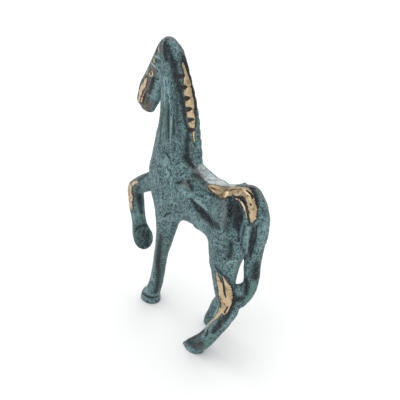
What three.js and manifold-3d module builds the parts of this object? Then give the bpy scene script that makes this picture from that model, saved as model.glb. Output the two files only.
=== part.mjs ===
// Bronze horse statuette, cast solid in one piece: a slender stylised horse that stands on
// three hooves, its right foreleg raised and bent, its tail falling onto the left hock.
// Millimetres, +Z up, +X the way the horse faces, +Y its left side.
//
// The figure is modelled as a field, about the distance to the surface and negative inside.
// Rods with oval sections are swept through named stations and melt together, narrower rods
// are carved out of them, and the zero surface is meshed and thinned to an even faceting.

import * as THREE from "three";
import { mergeVertices } from "three/addons/utils/BufferGeometryUtils.js";
import Module from "manifold-3d";

// Driving sizes
const GRID_STEP = 0.8; // spacing of the points where the field is worked out
const TRIANGLES = 9200; // facets kept on the whole figure
const STEPS_PER_STATION = 4; // straight rods between two stations of a sweep
const FIELD_LOW = [-45, -15, -8]; // the block of space round the figure
const FIELD_HIGH = [53, 17, 127];
const HOOF_DEPTH_BELOW_GROUND = 3; // the hooves run on this far, then are cut flat at the ground
const GROUND_REACH = 200; // side of the block that cuts them
const LONG_EDGE_COST = 1e-4; // when thinning, keeps the facets even where the surface is flat
const LEAST_AGREEMENT = 0.2; // cosine of the most that a facet may tilt in one step
const LEAST_FATNESS = 0.1; // of a facet, as fatnessOf counts it
const SPECK = 1e-3; // a facet under this size has no direction worth keeping
const SHORT_EDGE = 0.02; // an edge under this length always closes up, and closes up first

// How soft the joins are: the reach in mm over which two forms melt together
const MELT = { sharp: 0.8, crisp: 1.2, soft: 2, muscle: 4 };

// Mane, a comb of short locks down the back of the neck
const LOCKS = 9;
const LOCK_PITCH = 3.85; // up the neck
const TOP_NOTCH_HEIGHT = 109.8;
const BAND_WIDTH = 3.1; // of the comb's side, from its back edge to the furrow
const EDGE = { half: 0.9, set: 0.4, inset: 1.2 }; // the rod that squares off the comb's back edge
const NOTCH = { width: 2.2, rise: 0.8, half: 0.7, side: 2.4, lean: 0.5 };

// Sole of the raised hoof, cut flat by a plane that faces back, a little up and to the left
const RAISED_SOLE = { place: [36.6, -4.6, 22.9], facing: [-0.85, 0.47, 0.23], reach: 16 };

// Every station: [ahead, to the left, up, half-width across, half-depth fore and aft]

const TRUNK = [
  [13, 0, 64, 6.5, 9], // breast
  [8, 0, 64, 7.6, 12], // shoulder
  [0, 0, 63.2, 7.6, 12], // girth
  [-10, 0, 61.8, 7, 10.1], // barrel
  [-18, 0, 62.3, 6.2, 9.2], // flank
  [-25, 0, 66.4, 4.8, 9.6], // loin
  [-30, 0, 70.2, 3.4, 8.2], // rump
];

const NECK = [
  [9.5, 0, 68, 7.2, 12.4], // base
  [9.2, 0, 78.6, 5.8, 10.1],
  [8.4, 0, 87, 4.8, 8.5],
  [8.2, 0, 95, 4.3, 7.4], // throat
  [9.2, 0, 103, 3.9, 6.4],
  [10.5, 0, 111, 3.4, 5],
  [11.5, 0, 117, 2.8, 4], // poll
];

const HEAD = [
  [11.7, 0, 119.6, 2.2, 2.6], // poll
  [13.4, 0, 117.2, 2.5, 3.2],
  [15.7, 0, 111.5, 3.4, 3.9], // forehead
  [19.2, 0, 104.4, 3.6, 4.7], // cheek
  [23, 0, 97.4, 3, 5.5], // jaw
  [25.8, 0, 91.8, 2.6, 4.7], // muzzle
];

const CREST = [
  [10.7, 0, 120.2, 1.8, 2], // forelock
  [7.3, 0, 117.7, 1.9, 2.5],
  [4.9, 0, 111.2, 2, 3],
  [2.6, 0, 103.5, 2.1, 3.5],
  [0.8, 0, 96, 2.1, 3.7],
  [-0.5, 0, 88, 2.1, 3.5],
  [-1.7, 0, 81, 2.1, 3.1],
  [-2.4, 0, 76, 2.1, 2.8], // withers
];

const LEFT_FORELEG = [
  [9, 3.6, 58, 4.6, 8.6], // shoulder
  [9.8, 4, 48.5, 4.2, 5.2], // elbow
  [12.5, 3.8, 37.3, 3.4, 3.4], // forearm
  [15.1, 3.5, 29.1, 2.9, 2.8], // knee
  [18, 2.9, 18.3, 2.7, 2.9], // cannon
  [21, 2.3, 9.8, 2.8, 3], // fetlock
  [23.4, 2, 4.6, 3.2, 3.6], // coronet
  [25, 1.7, 1.4, 3.8, 4.6], // hoof
  [25.4, 1.7, -HOOF_DEPTH_BELOW_GROUND, 3.9, 4.6],
];

const RIGHT_FORELEG = [
  [14, -4.5, 60, 4.5, 6.5], // shoulder
  [26, -4.8, 55.6, 3.8, 4.6], // elbow
  [34, -5.2, 51.2, 3.4, 3.8], // forearm
  [39.5, -5.6, 47.2, 3.2, 3.7],
  [42.2, -5.8, 44.2, 3.1, 3.9], // knee
  [42.3, -5.8, 38.4, 3, 3.9], // cannon
  [41.4, -5.7, 32.6, 2.9, 3.5],
  [40.3, -5.5, 28, 3, 3.6], // fetlock
  [39.4, -5.4, 24.9, 3.6, 4.3], // coronet
  [37.6, -5, 22.8, 4.1, 5.2], // hoof
  [33.8, -2.7, 23.6, 4.4, 5.5], // cut off again by the sole's plane
];

const LEFT_HAUNCH = [
  [-26, 2.4, 74.6, 2.4, 3], // croup
  [-26, 3.6, 68, 4.6, 8.8],
  [-25.7, 4.6, 60, 4.8, 9.4], // thigh
  [-24.9, 5.8, 52.3, 4.4, 7.8], // stifle
  [-25, 6.5, 46.3, 3.8, 6.2],
];

const RIGHT_HAUNCH = [
  [-26, -2.4, 74.6, 2.4, 3], // croup
  [-25.4, -3.6, 68, 4.4, 8.2],
  [-24.4, -4.6, 60, 4.4, 8.4], // thigh
  [-22.4, -5.6, 52.3, 4, 7], // stifle
];

const LEFT_HIND_LEG = [
  [-25, 6.5, 46.3, 3.8, 6.2], // gaskin
  [-25.8, 7.1, 40, 3.4, 5.2],
  [-26.9, 7.5, 35.6, 3.3, 4.8], // hock
  [-29.3, 7.9, 31, 3.2, 4.7],
  [-27.3, 8.3, 24.4, 3.2, 3.8], // cannon
  [-22.2, 8.8, 15, 3.2, 3.3],
  [-16.9, 9.1, 6.9, 3.2, 3.4], // fetlock
  [-13.8, 9.3, 3.3, 3.2, 3.5], // coronet
  [-11.9, 9.6, 0, 3.1, 4.3], // hoof
  [-11.5, 9.6, -HOOF_DEPTH_BELOW_GROUND, 3.1, 4.3],
];

// The pointed toe of the left hind hoof, which turns outward
const LEFT_HIND_TOE = [
  [-14, 8.6, 3.4, 2.4, 2.4],
  [-10.5, 9.2, 1.4, 2.2, 1.8],
  [-7.4, 10.3, 0, 1.1, 1.1],
];

const RIGHT_HIND_LEG = [
  [-22.4, -5.6, 52, 4, 7], // stifle
  [-19, -6.2, 43.6, 3.2, 3.9], // gaskin
  [-16.2, -6.6, 36, 3, 3.3], // hock
  [-14.6, -6.7, 29, 2.9, 3],
  [-12.8, -6.8, 20, 2.7, 2.8], // cannon
  [-7.7, -6.9, 10.8, 2.7, 2.8],
  [-5.7, -6.9, 5, 2.9, 3.1], // fetlock
  [-4.9, -6.9, 1.6, 3.2, 3.9], // hoof
  [-4.6, -6.9, -HOOF_DEPTH_BELOW_GROUND, 3.4, 4.1],
];

const TAIL = [
  [-26, 0, 74.6, 2.4, 2.2], // root
  [-30.8, 0, 75.2, 2.6, 2.8],
  [-33.9, 0, 73, 3.1, 3.2],
  [-35.7, 0, 69, 3.7, 3.8], // fullest
  [-35.1, 0, 62, 3.7, 3.7],
  [-34, 0.3, 54, 3.4, 3.4],
  [-33.8, 0.6, 47, 3.1, 3.1],
  [-34, 1.2, 41, 2.8, 2.8],
  [-33.8, 2.8, 36.6, 2.6, 2.6],
  [-32.5, 5, 32.9, 2.4, 2.4], // tip on the left hock
];

// The ridge that runs from the withers along the back, over the croup and down the buttock.
// Here and below, the left side is given, and the right side mirrors it.
const BACK_RIDGE = [
  [-3.6, 0.8, 75.4, 1.6, 1.4], // withers
  [-6.2, 2.1, 73.8, 1.5, 1.2],
  [-10.3, 2.7, 72.1, 1.4, 1.3],
  [-14.9, 2.2, 72.3, 1.6, 1.6],
  [-18.5, 1.4, 72.5, 1.7, 1.7], // lowest of the back
  [-22.1, 1.3, 73.6, 1.7, 1.7],
  [-26, 1.5, 75.2, 1.7, 1.7],
  [-29.6, 1.7, 76.9, 1.7, 1.7], // croup
  [-32.3, 1.9, 76.5, 1.7, 1.7],
  [-34, 2.2, 74.1, 1.7, 1.7],
  [-34.8, 2.8, 71, 1.7, 1.7], // buttock
  [-34.4, 3.6, 67.4, 1.6, 1.6],
  [-33, 4.4, 60, 1.6, 1.6],
  [-31.8, 5.4, 53.4, 1.5, 1.5],
];

// The flat of the back between the ridges
const BACK = [
  [-2.6, 0, 74.4, 2.6, 2],
  [-6.4, 0, 73, 2.6, 1.8],
  [-10.6, 0, 71.7, 2.8, 1.6],
  [-15, 0, 71.8, 2.2, 1.6],
  [-19, 0, 72.4, 1.5, 1.4],
];

// The fold of the flank, from the belly to the stifle
const FLANK_FOLD = [
  [-9, 3.2, 55.6, 3, 3],
  [-15, 4, 56.2, 3.2, 3.2],
  [-20, 5.2, 56, 3.4, 3.6],
];

// The web of bronze that ties the end of the tail to the left hock
const TAIL_TIE = [
  [-33.8, 2.2, 38.6, 2.6, 2.4],
  [-31.2, 4.8, 36.8, 2.4, 2.6],
  [-28.8, 7, 35.4, 2.6, 3],
];

const HIP_RIDGE = [
  [-23.4, 4.6, 75, 0.9, 0.9],
  [-23.9, 5.8, 71.5, 1, 1],
  [-24, 6.4, 66.5, 1, 1],
  [-23.6, 6.8, 62, 0.9, 0.9],
];

const HAUNCH_HOLLOW = [
  [-28.6, 6.4, 73, 1.8, 2],
  [-30.2, 6.5, 69.2, 2.6, 3.2],
  [-29.8, 7.7, 63.8, 2.2, 3.1],
  [-29.4, 9.5, 57, 1.6, 2.8],
];

const FLANK_GROOVE = [
  [-5, 8.5, 66.6, 0.8, 0.8],
  [-9.4, 7.8, 65, 1.4, 1.2],
  [-13.6, 7.2, 63.2, 1.7, 1.4],
  [-17.6, 7.4, 62, 1.6, 1.3],
  [-20.4, 8.4, 61.4, 1.3, 1.2],
];

// The furrow between the neck and the mane's comb
const MANE_FURROW = [
  [4.8, 2.8, 112, 0.5, 0.8],
  [2.9, 3, 105, 0.9, 1.4],
  [1.3, 3.1, 96, 1.1, 1.8],
  [0.8, 3.5, 88, 1.2, 1.8],
  [-0.2, 4.1, 81, 1.1, 1.6],
  [-2.6, 4.8, 76, 0.8, 1],
];

// Folds of skin down the neck
const NECK_GROOVES = [
  [[10.3, 4.1, 108, 0.3, 0.3], [10.3, 4.7, 98, 0.7, 0.7], [10, 5.3, 88, 0.7, 0.7], [10.6, 6.8, 79, 0.4, 0.4]],
  [[8, 4.1, 106, 0.3, 0.3], [7.6, 4.7, 96, 0.7, 0.7], [7.2, 5.3, 87, 0.7, 0.7], [6.4, 6.8, 78, 0.4, 0.4]],
  [[5.6, 3.7, 104, 0.3, 0.3], [5, 4.4, 97, 0.6, 0.6], [4.6, 5, 88, 0.6, 0.6], [3.6, 6, 80, 0.4, 0.4]],
];

// Strands of the tail
const TAIL_GROOVES = [
  [[-34.3, 5.9, 67.4, 0.3, 0.3], [-34.2, 6.9, 63.7, 0.6, 0.6], [-34, 7.1, 59.9, 0.6, 0.6], [-33.8, 7.1, 56.6, 0.3, 0.3]],
  [[-36.8, 4, 69, 0.6, 0.6], [-36.4, 3.8, 61, 0.9, 0.9], [-35, 3.7, 52, 0.8, 0.8], [-34.6, 3.8, 45, 0.5, 0.5]],
];

const EAR = [
  [9.3, 3, 113.4, 0.8, 1.3], // root
  [9.9, 3.1, 116.8, 1, 1.8],
  [11.3, 2.1, 120.2, 0.6, 0.8], // tip
];

const BROW = [
  [14.6, 3.1, 112.6, 0.6, 0.6],
  [16.6, 3, 111.8, 0.8, 0.8],
  [18, 2.1, 111.2, 0.6, 0.6],
];

const EYE = [
  [18, 3.1, 107.6, 0.8, 0.9],
  [18.9, 2.9, 107.3, 0.8, 0.9],
];

const MOUTH = [
  [27.4, 1.9, 90.4, 0.5, 0.5],
  [24.8, 2.6, 92.8, 0.5, 0.5],
  [22.6, 2.9, 95.8, 0.4, 0.4],
];

const NOSTRIL = [
  [28.6, 2.1, 93.4, 0.6, 0.6],
  [27.6, 2.5, 95.4, 0.6, 0.6],
];

// The same stations on the horse's right side.
function mirrored(stations) {
  return stations.map(([ahead, left, ...rest]) => [ahead, -left, ...rest]);
}

// How far back the mane's comb reaches at a height.
function crestBackAt(height) {
  const below = Math.max(1, CREST.findIndex((station) => station[2] <= height));
  const [upper, lower] = [CREST[below - 1], CREST[below]];
  const share = (upper[2] - height) / (upper[2] - lower[2]);
  return THREE.MathUtils.lerp(upper[0] - upper[4], lower[0] - lower[4], share);
}

// The comb's back edge on the left, which keeps its back flat and its side a clean band.
function crestEdge() {
  return CREST.slice(1).map(([ahead, , height, half, depth]) => (
    [ahead - depth + EDGE.half + EDGE.set, half - EDGE.inset, height, EDGE.half, EDGE.half]
  ));
}

// The notch under one lock of the mane, which rises from the comb's front toward its back.
function maneNotch(index) {
  const height = TOP_NOTCH_HEIGHT - index * LOCK_PITCH;
  const front = crestBackAt(height) + BAND_WIDTH;
  const back = front - NOTCH.width;
  return [
    [front, NOTCH.side, height, NOTCH.half, NOTCH.half],
    [back, NOTCH.side - NOTCH.lean, height + NOTCH.rise, NOTCH.half, NOTCH.half],
  ];
}

// Points on a smooth curve through the stations, with the section's sizes carried along.
function smoothStations(stations) {
  const rows = stations.map((station) => Float64Array.from(station));
  const before = rows[0].map((value, axis) => 2 * value - rows[1][axis]);
  const after = rows.at(-1).map((value, axis) => 2 * value - rows.at(-2)[axis]);
  const padded = [before, ...rows, after];
  const gap = (a, b) => Math.sqrt(Math.hypot(a[0] - b[0], a[1] - b[1], a[2] - b[2])) + 1e-9;
  const curve = [rows[0]];
  for (let index = 1; index < rows.length; index += 1) {
    const [p0, p1, p2, p3] = padded.slice(index - 1, index + 3);
    const [g0, g1, g2] = [gap(p0, p1), gap(p1, p2), gap(p2, p3)];
    for (let step = 1; step <= STEPS_PER_STATION; step += 1) {
      const t = step / STEPS_PER_STATION;
      curve.push(p1.map((_, axis) => {
        const [a, b, c, d] = [p0[axis], p1[axis], p2[axis], p3[axis]];
        const start = c - b + g1 * ((b - a) / g0 - (c - a) / (g0 + g1));
        const end = c - b + g1 * ((d - c) / g2 - (d - b) / (g1 + g2));
        return (2 * t ** 3 - 3 * t ** 2 + 1) * b + (t ** 3 - 2 * t ** 2 + t) * start
          + (3 * t ** 2 - 2 * t ** 3) * c + (t ** 3 - t ** 2) * end;
      }));
    }
  }
  return curve;
}

// The smaller of two distances, rounded off where they are within reach of each other.
function meltedMinimum(a, b, reach) {
  const overlap = Math.max(reach - Math.abs(a - b), 0) / reach;
  return Math.min(a, b) - overlap * overlap * reach / 4;
}

// The field: about the distance to the surface at every point of an even grid.
class Field {
  constructor(low, high, step) {
    this.low = low;
    this.step = step;
    this.count = low.map((value, axis) => Math.ceil((high[axis] - value) / step) + 1);
    this.values = new Float32Array(this.count[0] * this.count[1] * this.count[2]).fill(1000);
  }

  index(i, j, k) {
    return (i * this.count[1] + j) * this.count[2] + k;
  }

  place(i, j, k) {
    return [this.low[0] + i * this.step, this.low[1] + j * this.step, this.low[2] + k * this.step];
  }

  // Calls visit for every grid point in the box between two corners.
  inBox(low, high, visit) {
    const from = low.map((value, axis) => Math.max(0, Math.floor((value - this.low[axis]) / this.step)));
    const to = high.map((value, axis) => Math.min(
      this.count[axis] - 1,
      Math.ceil((value - this.low[axis]) / this.step),
    ));
    for (let i = from[0]; i <= to[0]; i += 1) {
      for (let j = from[1]; j <= to[1]; j += 1) {
        for (let k = from[2]; k <= to[2]; k += 1) {
          visit(this.index(i, j, k), this.place(i, j, k));
        }
      }
    }
  }

  // The distances to one sweep, as a map from grid index to distance, near the sweep only.
  sweepDistances(stations, reach) {
    const near = new Map();
    const curve = smoothStations(stations);
    for (let index = 1; index < curve.length; index += 1) {
      const rod = new OvalRod(curve[index - 1], curve[index]);
      const margin = rod.widest + reach;
      const low = rod.start.map((value, axis) => Math.min(value, rod.end[axis]) - margin);
      const high = rod.start.map((value, axis) => Math.max(value, rod.end[axis]) + margin);
      this.inBox(low, high, (at, place) => {
        const distance = rod.distance(place);
        const known = near.get(at);
        if (known === undefined || distance < known) near.set(at, distance);
      });
    }
    return near;
  }

  add(stations, melt) {
    const near = this.sweepDistances(stations, Math.max(3, melt + 1));
    near.forEach((distance, at) => {
      this.values[at] = meltedMinimum(this.values[at], distance, melt);
    });
  }

  carve(stations, melt) {
    const near = this.sweepDistances(stations, Math.max(2, melt + 1));
    near.forEach((distance, at) => {
      this.values[at] = -meltedMinimum(-this.values[at], distance, melt);
    });
  }
}

// A straight rod with an oval section whose half-width and half-depth change evenly.
class OvalRod {
  constructor(first, last) {
    this.start = [first[0], first[1], first[2]];
    this.end = [last[0], last[1], last[2]];
    this.sizes = [first[3], last[3] - first[3], first[4], last[4] - first[4]];
    this.widest = Math.max(first[3], last[3], first[4], last[4]);
    const along = new THREE.Vector3(...this.end).sub(new THREE.Vector3(...this.start));
    this.length = along.length();
    this.along = along.divideScalar(this.length);
    this.across = new THREE.Vector3(0, 1, 0).addScaledVector(this.along, -this.along.y).normalize();
    this.depth = new THREE.Vector3().crossVectors(this.across, this.along);
  }

  distance([x, y, z]) {
    const [dx, dy, dz] = [x - this.start[0], y - this.start[1], z - this.start[2]];
    const { along, across, depth, length } = this;
    const travelled = dx * along.x + dy * along.y + dz * along.z;
    const share = Math.min(1, Math.max(0, travelled / length));
    const beyond = travelled - share * length;
    const aside = dx * across.x + dy * across.y + dz * across.z;
    const deep = dx * depth.x + dy * depth.y + dz * depth.z;
    const halfWidth = this.sizes[0] + this.sizes[1] * share;
    const halfDepth = this.sizes[2] + this.sizes[3] * share;
    const cap = Math.min(halfWidth, halfDepth);
    const scaled = Math.hypot(aside / halfWidth, deep / halfDepth, beyond / cap) + 1e-9;
    const slope = Math.hypot(
      aside / halfWidth ** 2,
      deep / halfDepth ** 2,
      beyond / cap ** 2,
    ) + 1e-9;
    return scaled * (scaled - 1) / slope;
  }
}

// The whole figure as a field.
function modelHorse() {
  const field = new Field(FIELD_LOW, FIELD_HIGH, GRID_STEP);
  field.add(TRUNK, MELT.sharp);
  field.add(NECK, MELT.muscle);
  field.add(HEAD, MELT.crisp);
  field.add(CREST, MELT.sharp);
  field.add(LEFT_FORELEG, MELT.muscle);
  field.add(RIGHT_FORELEG, MELT.muscle);
  field.add(LEFT_HAUNCH, MELT.soft);
  field.add(RIGHT_HAUNCH, MELT.soft);
  field.add(LEFT_HIND_LEG, MELT.crisp);
  field.add(RIGHT_HIND_LEG, MELT.crisp);
  field.add(LEFT_HIND_TOE, MELT.crisp);
  field.add(BACK, MELT.crisp);
  for (const ridge of [crestEdge(), BACK_RIDGE, HIP_RIDGE, FLANK_FOLD]) {
    field.add(ridge, MELT.crisp);
    field.add(mirrored(ridge), MELT.crisp);
  }
  field.add(TAIL, MELT.crisp);
  field.add(TAIL_TIE, MELT.crisp);
  for (const toSide of [(stations) => stations, mirrored]) {
    carveSide(field, toSide);
  }
  return field;
}

// The carving and the small raised forms of one side.
function carveSide(field, toSide) {
  field.carve(toSide(HAUNCH_HOLLOW), MELT.crisp);
  field.carve(toSide(FLANK_GROOVE), MELT.crisp);
  for (const groove of [MANE_FURROW, ...NECK_GROOVES, ...TAIL_GROOVES]) {
    field.carve(toSide(groove), MELT.sharp);
  }
  for (let lock = 0; lock < LOCKS; lock += 1) {
    field.carve(toSide(maneNotch(lock)), MELT.sharp / 2);
  }
  for (const raised of [EAR, BROW, EYE]) {
    field.add(toSide(raised), MELT.sharp);
  }
  for (const line of [MOUTH, NOSTRIL]) {
    field.carve(toSide(line), MELT.sharp / 2);
  }
}

// The six tetrahedra of a cube, by the numbers of its corners, all round one long diagonal.
const TETRAHEDRA = [[1, 3], [3, 2], [2, 6], [6, 4], [4, 5], [5, 1]].map(([a, b]) => [0, a, b, 7]);

// Meshes the zero surface of a field, tetrahedron by tetrahedron, so that it always closes.
function surfaceOf(field) {
  const points = [];
  const faces = [];
  const pointOnEdge = new Map();
  const total = field.values.length;

  function crossing(from, to) {
    const [a, b] = from.index < to.index ? [from, to] : [to, from];
    const key = a.index * total + b.index;
    if (!pointOnEdge.has(key)) {
      const share = THREE.MathUtils.clamp(a.value / (a.value - b.value), 0.1, 0.9);
      pointOnEdge.set(key, points.length);
      points.push(a.place.map((value, axis) => THREE.MathUtils.lerp(value, b.place[axis], share)));
    }
    return pointOnEdge.get(key);
  }

  // The corners, those inside the figure first, say which way round a face shows its front.
  function meshTetrahedron(corners) {
    const inside = corners.filter((corner) => corner.value < 0);
    const outside = corners.filter((corner) => corner.value >= 0);
    if (inside.length === 0 || outside.length === 0) return;
    const [first, second, third, fourth] = [...inside, ...outside].map((corner) => corner.place);
    const volume = dot(minus(second, first), cross(minus(third, first), minus(fourth, first)));
    const ring = [];
    if (inside.length === 2) {
      const [[a, b], [c, d]] = [inside, outside];
      ring.push(crossing(a, c), crossing(a, d), crossing(b, d), crossing(b, c));
    } else if (inside.length === 1) {
      ring.push(...outside.map((corner) => crossing(inside[0], corner)));
    } else {
      ring.push(...inside.map((corner) => crossing(corner, outside[0])));
    }
    if (volume < 0) ring.reverse();
    faces.push([ring[0], ring[1], ring[2]]);
    if (ring.length === 4) faces.push([ring[0], ring[2], ring[3]]);
  }

  const [countX, countY, countZ] = field.count;
  for (let i = 0; i < countX - 1; i += 1) {
    for (let j = 0; j < countY - 1; j += 1) {
      for (let k = 0; k < countZ - 1; k += 1) {
        const corners = [];
        for (let corner = 0; corner < 8; corner += 1) {
          const spot = [i + (corner & 1), j + ((corner >> 1) & 1), k + (corner >> 2)];
          const index = field.index(...spot);
          corners.push({ index, value: field.values[index], spot });
        }
        const insideCount = corners.filter((corner) => corner.value < 0).length;
        if (insideCount === 0 || insideCount === 8) continue;
        for (const corner of corners) corner.place = field.place(...corner.spot);
        for (const numbers of TETRAHEDRA) meshTetrahedron(numbers.map((number) => corners[number]));
      }
    }
  }
  return { points, faces };
}

function minus(a, b) {
  return [a[0] - b[0], a[1] - b[1], a[2] - b[2]];
}

function cross(a, b) {
  return [a[1] * b[2] - a[2] * b[1], a[2] * b[0] - a[0] * b[2], a[0] * b[1] - a[1] * b[0]];
}

function dot(a, b) {
  return a[0] * b[0] + a[1] * b[1] + a[2] * b[2];
}

// A heap that gives back the cheapest entry first.
class CheapestFirst {
  constructor() {
    this.entries = [];
  }

  push(entry) {
    const { entries } = this;
    let at = entries.length;
    entries.push(entry);
    while (at > 0) {
      const parent = (at - 1) >> 1;
      if (entries[parent].cost <= entry.cost) break;
      entries[at] = entries[parent];
      at = parent;
    }
    entries[at] = entry;
  }

  pop() {
    const { entries } = this;
    const cheapest = entries[0];
    const last = entries.pop();
    if (entries.length === 0) return cheapest;
    let at = 0;
    for (;;) {
      let child = 2 * at + 1;
      if (child >= entries.length) break;
      if (child + 1 < entries.length && entries[child + 1].cost < entries[child].cost) child += 1;
      if (entries[child].cost >= last.cost) break;
      entries[at] = entries[child];
      at = child;
    }
    entries[at] = last;
    return cheapest;
  }
}

// Thins a closed mesh by drawing the two ends of an edge together, always the edge whose loss
// moves the surface least. Each vertex keeps the sum of squared distances to the planes that
// it stands for, as the ten different numbers of a symmetric four by four matrix.
class Thinner {
  constructor({ points, faces }) {
    this.points = points;
    this.faces = faces;
    this.alive = faces.length;
    this.facesAt = points.map(() => new Set());
    faces.forEach((face, index) => face.forEach((corner) => this.facesAt[corner].add(index)));
    this.planes = points.map(() => new Float64Array(10));
    for (const face of faces) this.addPlane(face);
    this.changes = new Uint32Array(points.length);
    this.queue = new CheapestFirst();
    for (const face of faces) {
      face.forEach((corner, side) => {
        const next = face[(side + 1) % 3];
        if (corner < next) this.offer(corner, next);
      });
    }
  }

  addPlane(face) {
    const [a, b, c] = face.map((corner) => this.points[corner]);
    const normal = cross(minus(b, a), minus(c, a));
    const doubleArea = Math.hypot(...normal);
    const [x, y, z] = normal.map((value) => value / doubleArea);
    const w = -dot([x, y, z], a);
    const products = [x * x, x * y, x * z, x * w, y * y, y * z, y * w, z * z, z * w, w * w];
    for (const corner of face) {
      products.forEach((value, slot) => { this.planes[corner][slot] += value * doubleArea; });
    }
  }

  offer(a, b) {
    const sum = this.planes[a].map((value, slot) => value + this.planes[b][slot]);
    const place = this.bestPlace(sum, this.points[a], this.points[b]);
    const reach = minus(this.points[a], this.points[b]);
    const short = this.isShort(a, b);
    const cost = short ? -1 : squaredDistance(sum, place) + LONG_EDGE_COST * dot(reach, reach);
    this.queue.push({ cost, a, b, place, stamp: this.changes[a] + this.changes[b] });
  }

  // The place of least squared distance, or the middle of the edge where that is far off.
  // A vertex on the ground stays there, so the soles stay flat.
  bestPlace(sum, first, last) {
    const middle = first.map((value, axis) => (value + last[axis]) / 2);
    if (onGround(first) || onGround(last)) {
      if (onGround(first) && onGround(last)) return middle;
      return onGround(first) ? first : last;
    }
    const [xx, xy, xz, xw, yy, yz, yw, zz, zw] = sum;
    const rows = new THREE.Matrix3(xx, xy, xz, xy, yy, yz, xz, yz, zz);
    if (Math.abs(rows.determinant()) < 1e-3 * (xx + yy + zz) ** 3 / 27) return middle;
    const best = new THREE.Vector3(-xw, -yw, -zw).applyMatrix3(rows.invert()).toArray();
    const drift = minus(best, middle);
    const edge = minus(first, last);
    return dot(drift, drift) < dot(edge, edge) ? best : middle;
  }

  neighbours(vertex) {
    const found = new Set();
    for (const index of this.facesAt[vertex]) {
      for (const corner of this.faces[index]) if (corner !== vertex) found.add(corner);
    }
    return found;
  }

  // Whether the two ends can meet with no fold, no pinch and no sliver.
  canMerge({ a, b, place }) {
    const nextToA = this.neighbours(a);
    const shared = [...this.neighbours(b)].filter((vertex) => nextToA.has(vertex));
    if (shared.length !== 2) return false;
    if (shared.some((vertex) => this.facesAt[vertex].size < 4)) return false;
    return this.staysWhole(a, b, place) && this.staysWhole(b, a, place);
  }

  // Whether two vertices are too near each other to hold any shape between them.
  isShort(a, b) {
    return Math.hypot(...minus(this.points[a], this.points[b])) < SHORT_EDGE;
  }

  staysWhole(moving, other, place) {
    if (this.isShort(moving, other)) return true;
    for (const index of this.facesAt[moving]) {
      const face = this.faces[index];
      if (face.includes(other)) continue;
      const before = face.map((corner) => this.points[corner]);
      const after = face.map((corner) => (corner === moving ? place : this.points[corner]));
      const [oldNormal, newNormal] = [faceNormal(before), faceNormal(after)];
      const [oldSize, newSize] = [Math.hypot(...oldNormal), Math.hypot(...newNormal)];
      const agreement = dot(oldNormal, newNormal) / (oldSize * newSize);
      if (oldSize > SPECK && agreement < LEAST_AGREEMENT) return false;
      const fatness = fatnessOf(after);
      if (fatness < LEAST_FATNESS && fatness < fatnessOf(before)) return false;
    }
    return true;
  }

  merge({ a, b, place }) {
    this.points[a] = place;
    this.planes[a] = this.planes[a].map((value, slot) => value + this.planes[b][slot]);
    for (const index of this.facesAt[b]) {
      const face = this.faces[index];
      if (face.includes(a)) {
        for (const corner of face) if (corner !== b) this.facesAt[corner].delete(index);
        this.faces[index] = null;
        this.alive -= 1;
      } else {
        this.faces[index] = face.map((corner) => (corner === b ? a : corner));
        this.facesAt[a].add(index);
      }
    }
    this.facesAt[b] = new Set();
    this.changes[a] += 1;
    this.changes[b] += 1;
    for (const vertex of this.neighbours(a)) this.offer(a, vertex);
  }

  thinTo(wanted) {
    while (this.alive > wanted && this.queue.entries.length > 0) {
      const entry = this.queue.pop();
      const { a, b, stamp } = entry;
      const gone = this.facesAt[a].size === 0 || this.facesAt[b].size === 0;
      if (gone || stamp !== this.changes[a] + this.changes[b]) continue;
      if (this.canMerge(entry)) this.merge(entry);
    }
    return this.faces.filter((face) => face !== null);
  }
}

function faceNormal([a, b, c]) {
  return cross(minus(b, a), minus(c, a));
}

// A face's area against its longest side: 0 for a sliver, 0.87 for an even triangle.
function fatnessOf(corners) {
  const squares = corners.map((corner, side) => {
    const edge = minus(corner, corners[(side + 1) % 3]);
    return dot(edge, edge);
  });
  return Math.hypot(...faceNormal(corners)) / Math.max(...squares);
}

function onGround(point) {
  return Math.abs(point[2]) < 1e-4;
}

function squaredDistance(sum, [x, y, z]) {
  const [xx, xy, xz, xw, yy, yz, yw, zz, zw, ww] = sum;
  return xx * x * x + yy * y * y + zz * z * z + ww
    + 2 * (xy * x * y + xz * x * z + yz * y * z + xw * x + yw * y + zw * z);
}

function geometryFrom(points, faces) {
  const geometry = new THREE.BufferGeometry();
  geometry.setAttribute("position", new THREE.Float32BufferAttribute(points.flat(), 3));
  geometry.setIndex(faces.flat());
  return geometry;
}

// A closed three.js mesh as a manifold-3d solid.
function solidFrom(wasm, geometry) {
  const bare = geometry.clone();
  bare.deleteAttribute("normal");
  bare.deleteAttribute("uv");
  const merged = mergeVertices(bare, 1e-5);
  return new wasm.Manifold(new wasm.Mesh({
    numProp: 3,
    vertProperties: Float32Array.from(merged.attributes.position.array),
    triVerts: Uint32Array.from(merged.index.array),
  }));
}

// A block with one face on a plane, that takes away what lies beyond it.
function blockBeyond(place, facing, reach) {
  const block = new THREE.BoxGeometry(reach, reach, reach);
  block.translate(reach / 2, 0, 0);
  const turn = new THREE.Quaternion();
  turn.setFromUnitVectors(new THREE.Vector3(1, 0, 0), new THREE.Vector3(...facing).normalize());
  block.applyQuaternion(turn);
  block.translate(...place);
  return block;
}

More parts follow.
